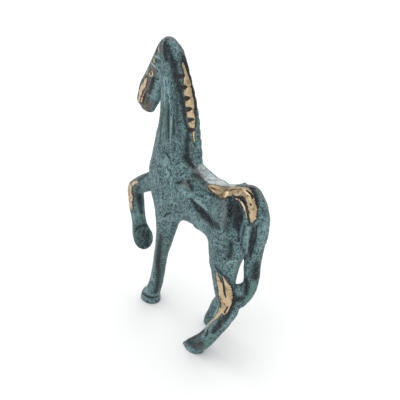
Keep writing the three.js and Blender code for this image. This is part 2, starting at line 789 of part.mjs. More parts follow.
// Cuts the standing hooves flat at the ground, and the raised one at its sole.
async function cutSoles({ points, faces }) {
  const wasm = await Module();
  wasm.setup();
  const below = solidFrom(wasm, blockBeyond([0, 0, 0], [0, 0, -1], GROUND_REACH));
  const { place, facing, reach } = RAISED_SOLE;
  const beyond = solidFrom(wasm, blockBeyond(place, facing, reach));
  const figure = solidFrom(wasm, geometryFrom(points, faces));
  const { vertProperties, triVerts } = figure.subtract(below).subtract(beyond).getMesh();
  const inThrees = (list) => Array.from({ length: list.length / 3 }, (_, index) => (
    Array.from(list.slice(3 * index, 3 * index + 3))
  ));
  return { points: inThrees(vertProperties), faces: inThrees(triVerts) };
}

// The thinned figure, centred over the origin.
function finishedGeometry({ points, faces }) {
  const kept = new Thinner({ points, faces }).thinTo(TRIANGLES);
  const loose = geometryFrom(points, kept).toNonIndexed();
  const geometry = mergeVertices(loose, 1e-5);
  geometry.computeBoundingBox();
  const middle = geometry.boundingBox.getCenter(new THREE.Vector3());
  geometry.translate(-middle.x, -middle.y, 0);
  geometry.computeVertexNormals();
  return geometry;
}

const verdigrisBronze = new THREE.MeshStandardMaterial({
  color: 0x5f8480,
  roughness: 0.6,
  metalness: 0.5,
});

const standing = await cutSoles(surfaceOf(modelHorse()));
const horse = new THREE.Mesh(finishedGeometry(standing), verdigrisBronze);
horse.name = "horse";

const statuette = new THREE.Group();
statuette.add(horse);

export default statuette;
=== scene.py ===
"""Bronze horse statuette: one solid casting under a green patina, worn to gold on its ridges.

The casting is modelled as a field, about the distance to its surface and negative inside it.
Rods with oval sections run through named stations and melt together, narrower rods carve
them, and the zero surface becomes the mesh. Marks laid along the surface then say where the
patina is rubbed through, dark, pale or green, and where painted shade and painted
reflections stand in for light; the finish reads them and paints shade into hollows and creases.

Sizes are millimetres in the modelling frame: +X the way the horse faces, +Y its left side,
+Z up, with the middle plane at Y = 0 and the ground at Z = 0. The mesh is in metres and
stands where the CAD node stands.
"""
import logging
import math
from dataclasses import dataclass
from enum import Enum
from itertools import product
from typing import ClassVar

import bpy
import numpy as np
from mathutils import Matrix, Vector


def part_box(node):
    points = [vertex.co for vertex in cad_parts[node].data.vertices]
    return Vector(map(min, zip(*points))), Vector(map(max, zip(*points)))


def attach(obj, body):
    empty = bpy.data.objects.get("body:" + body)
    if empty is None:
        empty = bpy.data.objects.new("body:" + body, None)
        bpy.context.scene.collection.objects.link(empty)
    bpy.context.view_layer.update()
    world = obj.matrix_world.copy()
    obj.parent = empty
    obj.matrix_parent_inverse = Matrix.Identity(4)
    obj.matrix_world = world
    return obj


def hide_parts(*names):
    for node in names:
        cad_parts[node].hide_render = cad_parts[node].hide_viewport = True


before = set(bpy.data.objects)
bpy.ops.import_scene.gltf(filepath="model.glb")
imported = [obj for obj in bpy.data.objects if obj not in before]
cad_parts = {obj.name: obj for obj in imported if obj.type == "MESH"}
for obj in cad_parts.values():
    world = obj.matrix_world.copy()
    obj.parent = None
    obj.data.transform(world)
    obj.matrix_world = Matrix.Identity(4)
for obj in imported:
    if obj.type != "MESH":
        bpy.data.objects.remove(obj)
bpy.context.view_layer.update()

MM = 0.001
TINY = 1e-9  # keeps a division from meeting zero
CORNERS = tuple(product((0, 1), repeat=3))  # of a cell of the grid
CAD_NODE = "horse"

Colour = tuple[float, float, float]
Point = tuple[float, float, float]
RoundStation = tuple[float, float, float, float]  # ahead, to the left, up, radius or reach
Station = tuple[float, float, float, float, float]  # ahead, to the left, up, half-width, half-depth
Span = tuple[slice, slice, slice]
Feed = bpy.types.NodeSocket | float | Colour

log = logging.getLogger("statuette")


class Melt(Enum):
    """How far two forms reach for each other where they melt together, in mm."""

    HAIRLINE = 0.4
    SHARP = 0.8
    CRISP = 1.2
    SOFT = 2.0
    MUSCLE = 4.0


class Side(Enum):
    """The horse's own left and right, as the sign of Y."""

    LEFT = 1.0
    RIGHT = -1.0


MIRRORED = tuple(Side)
ONCE = (Side.LEFT,)  # as drawn, with no mirror image


class Tone(Enum):
    """What a mark does to the surface; the value is the name of the mesh's attribute."""

    GOLD = "worn_to_gold"
    # dark patina, and painted shade where a mark stands in for shade
    DARK = "dark_patina"
    # pale patina, and a painted reflection on the planted foreleg
    PALE = "pale_patina"
    GREEN = "green_patina"
    BROWN = "brown_patina"
    # mauve patina, and painted reflection and shade on the crown and the flat of the back
    MAUVE = "mauve_patina"
    # painted reflection: pale grey where the surface reflects its bright surroundings
    SHEEN = "smooth_patina"
    SEAM = "tarnished_seam"
    CUT = "cut_in_gold"


def smooth_path(rows: np.ndarray, steps: int) -> np.ndarray:
    """Run a smooth curve through the rows and carry every column along it.

    Each stretch between two rows is a cubic. Its pace is the square root of the distance between
    them, and its slope at a row joins the slopes of the straight lines before and after that row.

    Args:
        rows: one row per station; the first three columns are its place.
        steps: how many points stand for the stretch between two stations.

    Returns:
        The points of the curve, with both ends of the rows among them.
    """
    padded = np.vstack([2 * rows[0] - rows[1], rows, 2 * rows[-1] - rows[-2]])
    gaps = np.sqrt(np.linalg.norm(np.diff(padded[:, :3], axis=0), axis=1)) + TINY
    before, start, end, after = padded[:-3], padded[1:-2], padded[2:-1], padded[3:]
    gap_before, gap, gap_after = (gaps[k:len(gaps) - 2 + k, None] for k in range(3))
    leave = end - start + gap * ((start - before) / gap_before - (end - before) / (gap_before + gap))
    arrive = end - start + gap * ((after - end) / gap_after - (after - start) / (gap + gap_after))
    share = (np.arange(1, steps + 1) / steps)[None, :, None]
    curve = (
        (2 * share**3 - 3 * share**2 + 1) * start[:, None]
        + (share**3 - 2 * share**2 + share) * leave[:, None]
        + (3 * share**2 - 2 * share**3) * end[:, None]
        + (share**3 - share**2) * arrive[:, None]
    )
    return np.vstack([rows[:1], curve.reshape(-1, rows.shape[1])])


@dataclass(frozen=True)
class Sweep:
    """A rod with an oval section that runs through its stations."""

    stations: tuple[Station, ...]

    @classmethod
    def wire(cls, *stations: RoundStation) -> "Sweep":
        """Make a rod with a round section."""
        return cls(tuple((*station, station[3]) for station in stations))

    def on(self, side: Side) -> "Sweep":
        """Give the same rod on one side of the middle plane, as it is or mirrored."""
        return Sweep(tuple((x, y * side.value, z, a, b) for x, y, z, a, b in self.stations))

    def curve(self, steps: int) -> np.ndarray:
        """Give the smooth row of stations that the rod runs through."""
        return smooth_path(np.array(self.stations, float), steps)


def melted(first: np.ndarray, second: np.ndarray, reach: float) -> np.ndarray:
    """Take the smaller of two distances, less a quarter of reach times their overlap squared."""
    overlap = np.maximum(reach - np.abs(first - second), 0) / reach
    return np.minimum(first, second) - overlap**2 * (reach / 4)


def blended(grid: np.ndarray, base: np.ndarray, share: np.ndarray) -> np.ndarray:
    """Blend the eight values of a grid round each point.

    A corner's weight is the product, over the three axes, of how near the point is to it.

    Args:
        grid: the values; past its end the grid begins again.
        base: each point's cell, as the number of its first corner along each axis.
        share: how far across the cell the point lies along each axis.

    Returns:
        One value a point.
    """
    total = np.zeros(len(base))
    for corner in CORNERS:
        weight = np.prod(np.where(np.array(corner) == 1, share, 1 - share), axis=1)
        total += weight * grid[tuple(((base + corner) % grid.shape).T)]
    return total


class Clay:
    """A block of space that holds the figure as a field on an even grid."""

    LOW: ClassVar[Point] = (-45.0, -15.0, -8.0)
    HIGH: ClassVar[Point] = (53.0, 17.0, 127.0)
    FAR: ClassVar[float] = 1000.0
    STEPS_PER_STATION: ClassVar[int] = 8
    LEAST_REACH_ADDED: ClassVar[float] = 3.0
    LEAST_REACH_CARVED: ClassVar[float] = 2.0

    def __init__(self, step: float) -> None:
        """Start with an empty block.

        Args:
            step: the grid's spacing in mm.
        """
        self.step = step
        self.low = np.array(self.LOW)
        counts = np.ceil((np.array(self.HIGH) - self.low) / step).astype(int) + 1
        self.values = np.full(counts, self.FAR, np.float32)

    def span(self, low: np.ndarray, high: np.ndarray) -> tuple[Span, list[np.ndarray]]:
        """Find the part of the grid between two corners.

        Args:
            low: the lowest corner in mm.
            high: the highest corner in mm.

        Returns:
            The slices of the grid and the places of its points along each axis, as arrays
            that broadcast against each other.
        """
        first = np.clip(np.floor((low - self.low) / self.step).astype(int), 0, self.values.shape)
        last = np.clip(np.ceil((high - self.low) / self.step).astype(int) + 1, 0, self.values.shape)
        slices = tuple(slice(a, b) for a, b in zip(first, last))
        places = [self.low[axis] + self.step * np.arange(first[axis], last[axis]) for axis in range(3)]
        return slices, [places[0][:, None, None], places[1][None, :, None], places[2][None, None, :]]

    @staticmethod
    def rod_distance(start: np.ndarray, end: np.ndarray, places: list[np.ndarray]) -> np.ndarray:
        """Measure the distance to one straight oval rod with rounded ends.

        With k the length of a point's offset in units of the section's half-sizes, and g the
        length of that offset divided by the half-sizes once more, the distance is about
        k (k - 1) / g.

        Args:
            start: the rod's first station.
            end: its last station.
            places: the grid's places along each axis.

        Returns:
            The distance at each grid point, negative inside.
        """
        along = end[:3] - start[:3]
        length = np.linalg.norm(along)
        along = along / length
        across = np.array([0.0, 1.0, 0.0]) - along * along[1]
        across /= np.linalg.norm(across)
        deep = np.cross(across, along)
        offsets = [place - origin for place, origin in zip(places, start[:3])]
        travelled, aside, depth = (
            sum(offset * part for offset, part in zip(offsets, axis)) for axis in (along, across, deep)
        )
        share = np.clip(travelled / length, 0, 1)
        beyond = travelled - share * length
        half_width = start[3] + (end[3] - start[3]) * share
        half_depth = start[4] + (end[4] - start[4]) * share
        cap = np.minimum(half_width, half_depth)
        scaled = np.sqrt((aside / half_width)**2 + (depth / half_depth)**2 + (beyond / cap)**2)
        slope = np.sqrt(
            (aside / half_width**2)**2 + (depth / half_depth**2)**2 + (beyond / cap**2)**2
        )
        return (scaled + TINY) * (scaled - 1) / (slope + TINY)

    def distances(self, sweep: Sweep, reach: float) -> tuple[Span, np.ndarray]:
        """Measure the distance to a whole sweep, as the least of the distances to its rods.

        Args:
            sweep: the sweep.
            reach: how far round it the field is needed.

        Returns:
            The slices of the grid round the sweep and the distances there.
        """
        rows = sweep.curve(self.STEPS_PER_STATION)
        widest = rows[:, 3:].max(axis=1)
        margins = (np.maximum(widest[:-1], widest[1:]) + reach)[:, None]
        lows = np.minimum(rows[:-1, :3], rows[1:, :3]) - margins
        highs = np.maximum(rows[:-1, :3], rows[1:, :3]) + margins
        whole, places = self.span(lows.min(axis=0), highs.max(axis=0))
        nearest = np.full([axis.size for axis in places], self.FAR, np.float32)
        for start, end, low, high in zip(rows[:-1], rows[1:], lows, highs):
            part, places = self.span(low, high)
            local = tuple(slice(p.start - w.start, p.stop - w.start) for p, w in zip(part, whole))
            distance = self.rod_distance(start, end, places).astype(np.float32)
            nearest[local] = np.minimum(nearest[local], distance)
        return whole, nearest

    def add(self, melt: Melt, *sweeps: Sweep, side: Side = Side.LEFT) -> None:
        """Melt sweeps onto the figure, one after the other.

        Args:
            melt: how far they reach for what is there.
            *sweeps: the sweeps.
            side: LEFT for the sweeps as drawn, RIGHT for their mirror images.
        """
        for sweep in sweeps:
            part, distance = self.distances(sweep.on(side), max(self.LEAST_REACH_ADDED, melt.value + 1))
            self.values[part] = melted(self.values[part], distance, melt.value)

    def carve(self, melt: Melt, *sweeps: Sweep, side: Side = Side.LEFT) -> None:
        """Take sweeps out of the figure, with their edges rounded.

        Args:
            melt: how wide the edges are rounded.
            *sweeps: the sweeps.
            side: LEFT for the sweeps as drawn, RIGHT for their mirror images.
        """
        for sweep in sweeps:
            part, distance = self.distances(sweep.on(side), max(self.LEAST_REACH_CARVED, melt.value + 1))
            self.values[part] = -melted(-self.values[part], distance, melt.value)

    def slice_off(self, place: Point, facing: Point, reach: float) -> None:
        """Cut flat, by a plane, what lies within reach of a place.

        Args:
            place: a point of the plane.
            facing: the way the cut face looks.
            reach: how far round the place the cut goes.
        """
        middle = np.array(place)
        normal = np.array(facing) / np.linalg.norm(facing)
        part, places = self.span(middle - reach, middle + reach)
        beyond = sum((axis - origin) * share for axis, origin, share in zip(places, middle, normal))
        block = self.values[part]
        self.values[part] = np.where(block < reach / 2, np.maximum(block, beyond), block)

    def level_off(self) -> None:
        """Cut everything flat at the ground."""
        heights = self.low[2] + self.step * np.arange(self.values.shape[2])
        self.values = np.maximum(self.values, -heights[None, None, :].astype(np.float32))

    def at(self, grid: np.ndarray, points: np.ndarray) -> np.ndarray:
        """Read a grid at points between its own.

        Args:
            grid: values on this block's grid.
            points: places in mm, one a row.

        Returns:
            One value a point.
        """
        spots = (points - self.low) / self.step
        base = np.clip(np.floor(spots).astype(int), 0, np.array(grid.shape) - 2)
        return blended(grid, base, spots - base)

    def fullness(self, points: np.ndarray, reach: float) -> np.ndarray:
        """Measure how much of a small cube round each point is bronze.

        The share is a half on a flat surface, less on a ridge and more in a hollow. The cube's
        mean comes from running sums along the three axes.

        Args:
            points: places on the surface in mm.
            reach: half the cube's side in mm.

        Returns:
            One share a point.
        """
        blurred = np.clip(0.5 - self.values / (2 * self.step), 0, 1)
        half = round(reach / self.step)
        for axis in range(3):
            padding = [(half + 1, half) if each == axis else (0, 0) for each in range(3)]
            sums = np.cumsum(np.pad(blurred, padding, mode="edge"), axis=axis, dtype=np.float64)
            count = blurred.shape[axis]
            upper = np.take(sums, np.arange(2 * half + 1, 2 * half + 1 + count), axis=axis)
            lower = np.take(sums, np.arange(count), axis=axis)
            blurred = ((upper - lower) / (2 * half + 1)).astype(np.float32)
        return self.at(blurred, points)

    def skin(self) -> tuple[np.ndarray, np.ndarray]:
        """Mesh the zero surface as a net of squares.

        Each cell that the surface crosses gets one point, the mean of the places where the
        surface cuts the cell's edges, and each grid edge that the surface cuts gets a square
        through the points of the four cells round it.

        Returns:
            The points in mm, and the squares as rows of point numbers, facing outward.
        """
        inside = self.values < 0
        cells = tuple(count - 1 for count in inside.shape)

        def shifted(grid: np.ndarray, corner: tuple[int, ...]) -> np.ndarray:
            """Give one corner's value for every cell."""
            return grid[tuple(slice(start, start + count) for start, count in zip(corner, cells))]

        filled = sum(shifted(inside, corner).astype(np.int8) for corner in CORNERS)
        crossed = np.argwhere((filled > 0) & (filled < 8))
        number = np.full(cells, -1, np.int32)
        number[tuple(crossed.T)] = np.arange(len(crossed))
        values = [self.values[tuple((crossed + corner).T)].astype(float) for corner in CORNERS]
        total = np.zeros((len(crossed), 3))
        hits = np.zeros(len(crossed))
        for (one, a), (two, b) in product(zip(CORNERS, values), repeat=2):
            if one < two and sum(p != q for p, q in zip(one, two)) == 1:
                cut = (a < 0) != (b < 0)
                share = np.where(cut, a / np.where(cut, a - b, 1), 0)
                step = np.array(two) - np.array(one)
                total += cut[:, None] * (np.array(one) + step * share[:, None])
                hits += cut
        points = self.low + (crossed + total / hits[:, None]) * self.step
        squares = [self._squares(inside, number, axis) for axis in range(3)]
        return points, np.vstack(squares)

    @staticmethod
    def _squares(inside: np.ndarray, number: np.ndarray, axis: int) -> np.ndarray:
        """Give the squares across the grid edges along one axis.

        Args:
            inside: which grid points are bronze.
            number: the point number of each cell.
            axis: the axis.

        Returns:
            The squares, facing outward.
        """
        one, two = (axis + 1) % 3, (axis + 2) % 3
        near = np.take(inside, np.arange(inside.shape[axis] - 1), axis=axis)
        far = np.take(inside, np.arange(1, inside.shape[axis]), axis=axis)
        edges = np.argwhere(near != far)
        edges = edges[(edges[:, one] > 0) & (edges[:, two] > 0)]
        leaving = near[tuple(edges.T)]

        def cell(back_one: int, back_two: int) -> np.ndarray:
            """Give the point number of one of the four cells round each edge."""
            back = back_one * np.eye(3, dtype=int)[one] + back_two * np.eye(3, dtype=int)[two]
            return number[tuple((edges - back).T)]

        ring = np.stack([cell(1, 1), cell(0, 1), cell(0, 0), cell(1, 0)], axis=1)
        ring[~leaving] = ring[~leaving][:, ::-1]
        return ring


@dataclass(frozen=True)
class Mark:
    """A stroke along the surface, within whose reach the finish changes."""

    tone: Tone
    path: tuple[RoundStation, ...]
    sides: tuple[Side, ...] = MIRRORED
    strength: float = 1.0

    STEPS: ClassVar[int] = 6

    def level(self, points: np.ndarray, side: Side) -> np.ndarray:
        """Work out the stroke's level: 1 on its line, a half at its reach, 0 at twice that.

        Args:
            points: places on the surface in mm.
            side: the side that the stroke is on.

        Returns:
            One level a point.
        """
        rows = np.array(self.path, float)
        rows[:, 1] *= side.value
        curve = smooth_path(rows, self.STEPS)
        reach = 2 * curve[:, 3].max()
        low, high = curve[:, :3].min(axis=0) - reach, curve[:, :3].max(axis=0) + reach
        near = np.all((points > low) & (points < high), axis=1)
        close = points[near]
        best = np.zeros(len(close))
        for start, end in zip(curve[:-1], curve[1:]):
            along = end[:3] - start[:3]
            share = np.clip((close - start[:3]) @ along / (along @ along), 0, 1)
            gap = np.linalg.norm(close - start[:3] - share[:, None] * along, axis=1)
            best = np.maximum(best, 1 - gap / (2 * (start[3] + (end[3] - start[3]) * share)))
        level = np.zeros(len(points))
        level[near] = best * self.strength
        return level


@dataclass
class Trunk:
    """Chest, barrel and loin."""

    body: Sweep = Sweep((
        (13, 0, 64, 6.5, 9),  # breast
        (8, 0, 64, 7.6, 12),  # shoulder
        (0, 0, 63.2, 7.6, 12),  # girth
        (-10, 0, 61.8, 7, 10.1),  # barrel
        (-18, 0, 62.3, 6.2, 9.2),  # flank
        (-25, 0, 66.4, 4.8, 9.6),  # loin
        (-30, 0, 70.2, 3.4, 8.2),  # rump
    ))

    def model(self, clay: Clay) -> None:
        """Lay down the trunk, the first form of the figure."""
        clay.add(Melt.SHARP, self.body)


@dataclass
class NeckAndHead:
    """The tall neck and the small head, with its ear, brow, eye, mouth and nostril."""

    neck: Sweep = Sweep((
        (9.5, 0, 68, 7.2, 12.4),  # base
        (9.2, 0, 78.6, 5.8, 10.1),
        (8.4, 0, 87, 4.8, 8.5),
        (8.2, 0, 95, 4.3, 7.4),  # throat
        (9.2, 0, 103, 3.9, 6.4),
        (10.5, 0, 111, 3.4, 5),
        (11.5, 0, 117, 2.8, 4),  # poll
    ))
    head: Sweep = Sweep((
        (11.7, 0, 119.6, 2.2, 2.6),  # poll
        (13.4, 0, 117.2, 2.5, 3.2),
        (15.7, 0, 111.5, 3.4, 3.9),  # forehead
        (19.2, 0, 104.4, 3.6, 4.7),  # cheek
        (23, 0, 97.4, 3, 5.5),  # jaw
        (25.8, 0, 91.8, 2.6, 4.7),  # muzzle
    ))
    ear: Sweep = Sweep(((9.3, 3, 113.4, 0.8, 1.3), (9.9, 3.1, 116.8, 1, 1.8), (11.3, 2.1, 120.2, 0.6, 0.8)))
    brow: Sweep = Sweep.wire((14.6, 3.1, 112.6, 0.6), (16.6, 3, 111.8, 0.8), (18, 2.1, 111.2, 0.6))
    eye: Sweep = Sweep(((18, 3.1, 107.6, 0.8, 0.9), (18.9, 2.9, 107.3, 0.8, 0.9)))
    mouth: Sweep = Sweep.wire((27.4, 1.9, 90.4, 0.5), (24.8, 2.6, 92.8, 0.5), (22.6, 2.9, 95.8, 0.4))
    nostril: Sweep = Sweep.wire((28.6, 2.1, 93.4, 0.6), (27.6, 2.5, 95.4, 0.6))
    skin_folds: tuple[Sweep, ...] = (
        Sweep.wire((10.3, 4.1, 108, 0.3), (10.3, 4.7, 98, 0.7), (10, 5.3, 88, 0.7), (10.6, 6.8, 79, 0.4)),
        Sweep.wire((8, 4.1, 106, 0.3), (7.6, 4.7, 96, 0.7), (7.2, 5.3, 87, 0.7), (6.4, 6.8, 78, 0.4)),
        Sweep.wire((5.6, 3.7, 104, 0.3), (5, 4.4, 97, 0.6), (4.6, 5, 88, 0.6), (3.6, 6, 80, 0.4)),
    )
    eye_ring: Sweep = Sweep.wire(
        (19.1, 2.5, 109.3, 0.3), (18.9, 3.4, 108, 0.35), (18.6, 3.7, 106.4, 0.35), (17.8, 3.7, 107, 0.3),
        (17.4, 3.5, 108.6, 0.3), (18.4, 2.9, 109.6, 0.3),
    )
    cheek_line: Sweep = Sweep.wire(
        (25.9, 2.2, 92.6, 0.3), (24.2, 2.7, 95.4, 0.35), (21.9, 3.1, 98.4, 0.35), (19.6, 3.4, 101, 0.25),
    )
    lip_line: Sweep = Sweep.wire((23.6, 2.2, 91, 0.3), (22.5, 2.7, 93.9, 0.3), (21.4, 2.8, 96, 0.25))
    marks: tuple[Mark, ...] = (
        Mark(Tone.BROWN, ((13.5, 1.8, 119.9, 0.6), (12.9, 2.7, 118.1, 0.8), (11.9, 3.4, 116.2, 0.7))),
        Mark(Tone.GOLD, ((15, 2, 118.2, 0.24), (14.3, 2.6, 117.1, 0.3), (13.5, 2.9, 115.9, 0.24))),
        Mark(Tone.DARK, (
            (16.3, 2.7, 114.8, 0.5), (15.6, 2.4, 116.3, 0.6), (14.9, 1.4, 118.4, 0.4),
        ), strength=0.9),
        # painted reflection on the forehead
        Mark(Tone.SHEEN, (
            (16.5, 2.8, 114, 0.4), (14.6, 3, 114.3, 0.5), (13.1, 3, 114.1, 0.35),
        ), strength=0.9),
        Mark(Tone.GOLD, ((16.3, 3.2, 113.3, 0.5), (15.8, 3.8, 112.3, 0.6)), strength=0.85),  # brow
        # painted reflection under the brow
        Mark(Tone.SHEEN, ((17.5, 3.5, 111.1, 0.3), (16.4, 3.6, 110.8, 0.35), (15.7, 3.4, 110.2, 0.3))),
        Mark(Tone.BROWN, ((16.9, 3.5, 110, 0.6), (15.9, 3.4, 108.9, 0.7), (16.2, 3.4, 107.2, 0.7))),
        Mark(Tone.GOLD, (  # the ring of the eye
            (19.4, 3.6, 107.6, 0.22), (18.4, 3.6, 108.5, 0.26), (17, 3.6, 108.1, 0.28),
            (16.9, 3.6, 106.9, 0.28), (17.7, 3.6, 105.9, 0.22),
        )),
        Mark(Tone.GOLD, ((18.3, 3.9, 107.2, 0.4), (18.2, 3.7, 106.4, 0.4))),
        Mark(Tone.BROWN, (
            (18.9, 2.8, 111.2, 0.7), (19.6, 3, 109, 0.9), (20.4, 3.2, 106.4, 0.9), (20.9, 3.3, 104, 1),
        )),
        Mark(Tone.GOLD, (
            (19.6, 3, 109.8, 0.35), (20.7, 3, 107.6, 0.45), (21, 3.2, 105.6, 0.5),
        ), strength=0.75),
        # painted shade down the side of the face
        Mark(Tone.DARK, (
            (16, 3.6, 106.4, 0.5), (17, 3.5, 105, 0.7), (17.8, 3.4, 103.2, 0.8), (18.8, 3.2, 101, 0.8),
            (20.2, 3, 98.5, 0.6),
        )),
        Mark(Tone.BROWN, (  # the bridge of the nose
            (18.4, 0, 114.6, 1), (21.3, 0, 109.8, 1.8), (24.2, 0, 105.4, 2.2), (27, 0, 101.4, 2.6),
            (29.4, 0, 97.2, 2.6), (29.8, 0, 93.2, 2),
        ), ONCE, 0.9),
        Mark(Tone.GOLD, (
            (19.4, 0, 112.8, 0.6), (21.6, 0, 109.4, 1.1), (24, 0, 105.6, 1.7), (26.9, 0, 101.4, 2.2),
            (29.2, 0, 97.4, 2.2), (29.9, 0, 94, 1.3),
        ), ONCE, 0.72),
        Mark(Tone.BROWN, (  # the side of the face
            (19.6, 3.6, 104.9, 0.9), (20.6, 3.4, 102.6, 1.7), (22.3, 3.1, 99.6, 2.1), (23.8, 2.9, 96.8, 2),
            (25, 2.6, 94, 1.5),
        )),
        Mark(Tone.GOLD, (
            (20.5, 3.4, 104.5, 0.8), (22.2, 3.2, 102, 1.3), (24.3, 2.9, 99.4, 1.6), (25.9, 2.6, 96.7, 1.6),
            (26.9, 2.3, 94.2, 1.3), (27, 2.1, 92.2, 0.8),
        ), strength=0.7),
        Mark(Tone.CUT, ((20.8, 3.1, 99.6, 0.3), (22.9, 2.8, 96.4, 0.4), (24.7, 2.4, 92.9, 0.35))),
        Mark(Tone.GOLD, ((21.4, 3.2, 99.5, 0.25), (23.5, 2.9, 96.5, 0.3), (25.5, 2.6, 93, 0.28))),
        Mark(Tone.GOLD, ((21.4, 2.7, 95.8, 0.24), (22.8, 2.5, 93.2, 0.24)), strength=0.9),
        Mark(Tone.DARK, ((21.8, 2.8, 97, 0.5), (23.6, 2.5, 94.4, 0.5), (24.6, 2.2, 92, 0.4))),
        Mark(Tone.BROWN, (
            (26.6, 1.8, 91, 1.2), (24.6, 2.2, 90, 1.5), (22.4, 2.5, 91.6, 1.5), (21, 2.8, 94, 1.2),
        )),
        Mark(Tone.DARK, ((26, 1.4, 88.8, 0.8), (24, 1.9, 88.2, 0.9), (22, 2.1, 89.6, 0.9)), strength=0.85),
        Mark(Tone.DARK, (  # ear
            (11, 2.2, 120.9, 0.9), (9.7, 3.1, 119.1, 1.1), (8.9, 3.8, 117.3, 1.1), (8.7, 3.9, 115.3, 0.9),
        )),
        Mark(Tone.MAUVE, (  # painted reflection on the crown
            (11.5, 1.1, 121.7, 0.5), (10.4, 0.4, 122.1, 0.8), (9.4, -0.5, 121.6, 0.9),
            (8, -0.9, 120.8, 0.9), (6.4, -0.8, 119.8, 0.9), (4.9, -0.7, 118.6, 0.9),
            (4.1, -0.9, 116.8, 0.8),
        ), ONCE),
        Mark(Tone.PALE, (
            (14.2, 3.2, 111, 0.7), (13.4, 2.9, 107.3, 1.1), (15.6, 2.2, 102.5, 1.5), (17.6, 2.1, 98.6, 1),
        ), strength=0.6),
        Mark(Tone.PALE, (  # ridges of the neck
            (10.9, 3.5, 108.2, 0.4), (10, 3.7, 102.7, 0.45), (10.1, 3.9, 97.3, 0.4),
        )),
        Mark(Tone.PALE, ((9.3, 3.6, 108.3, 0.4), (7.8, 3.7, 102.4, 0.45), (7.1, 4, 96.4, 0.4))),
        Mark(Tone.PALE, ((5.9, 4, 94.9, 0.4), (6.4, 4.4, 88.8, 0.45), (6.3, 4.9, 83.9, 0.4))),
        Mark(Tone.DARK, ((7.7, 3.8, 98.9, 0.5), (7.8, 4.2, 91.2, 0.6), (7, 4.9, 84.2, 0.55)), strength=0.8),
        Mark(Tone.DARK, ((5.2, 3.9, 93.8, 0.55), (4.9, 4.2, 87.7, 0.65)), strength=0.8),
        Mark(Tone.DARK, (
            (11.6, 3.9, 93.6, 0.5), (12.1, 4.4, 86.7, 0.65), (11.9, 5.2, 81.5, 0.5),
        ), strength=0.8),
        Mark(Tone.DARK, (
            (5.1, 2.7, 105.3, 1.2), (4.6, 3, 101.7, 1.4), (4, 3.2, 98, 1.4), (4, 3.6, 94.2, 1.4),
            (3.4, 3.6, 90.4, 1.4), (2.8, 3.5, 86.5, 1.2),
        ), strength=0.55),
        Mark(Tone.DARK, ((9, 4, 98, 2), (9, 4.6, 90, 2.4), (8, 5.4, 82, 2)), strength=0.36),
    )

    def model(self, clay: Clay) -> None:
        """Raise the neck from the trunk and hang the head from the poll."""
        clay.add(Melt.MUSCLE, self.neck)
        clay.add(Melt.CRISP, self.head)

    def chase(self, clay: Clay, side: Side) -> None:
        """Carve the skin folds, then raise and cut the features of the head.

        Args:
            clay: the figure so far.
            side: the side that is worked on.
        """
        clay.carve(Melt.SHARP, *self.skin_folds, side=side)
        clay.add(Melt.SHARP, self.ear, self.brow, self.eye, side=side)
        clay.carve(Melt.HAIRLINE, self.mouth, self.nostril, side=side)
        clay.add(Melt.HAIRLINE, self.eye_ring, self.cheek_line, self.lip_line, side=side)


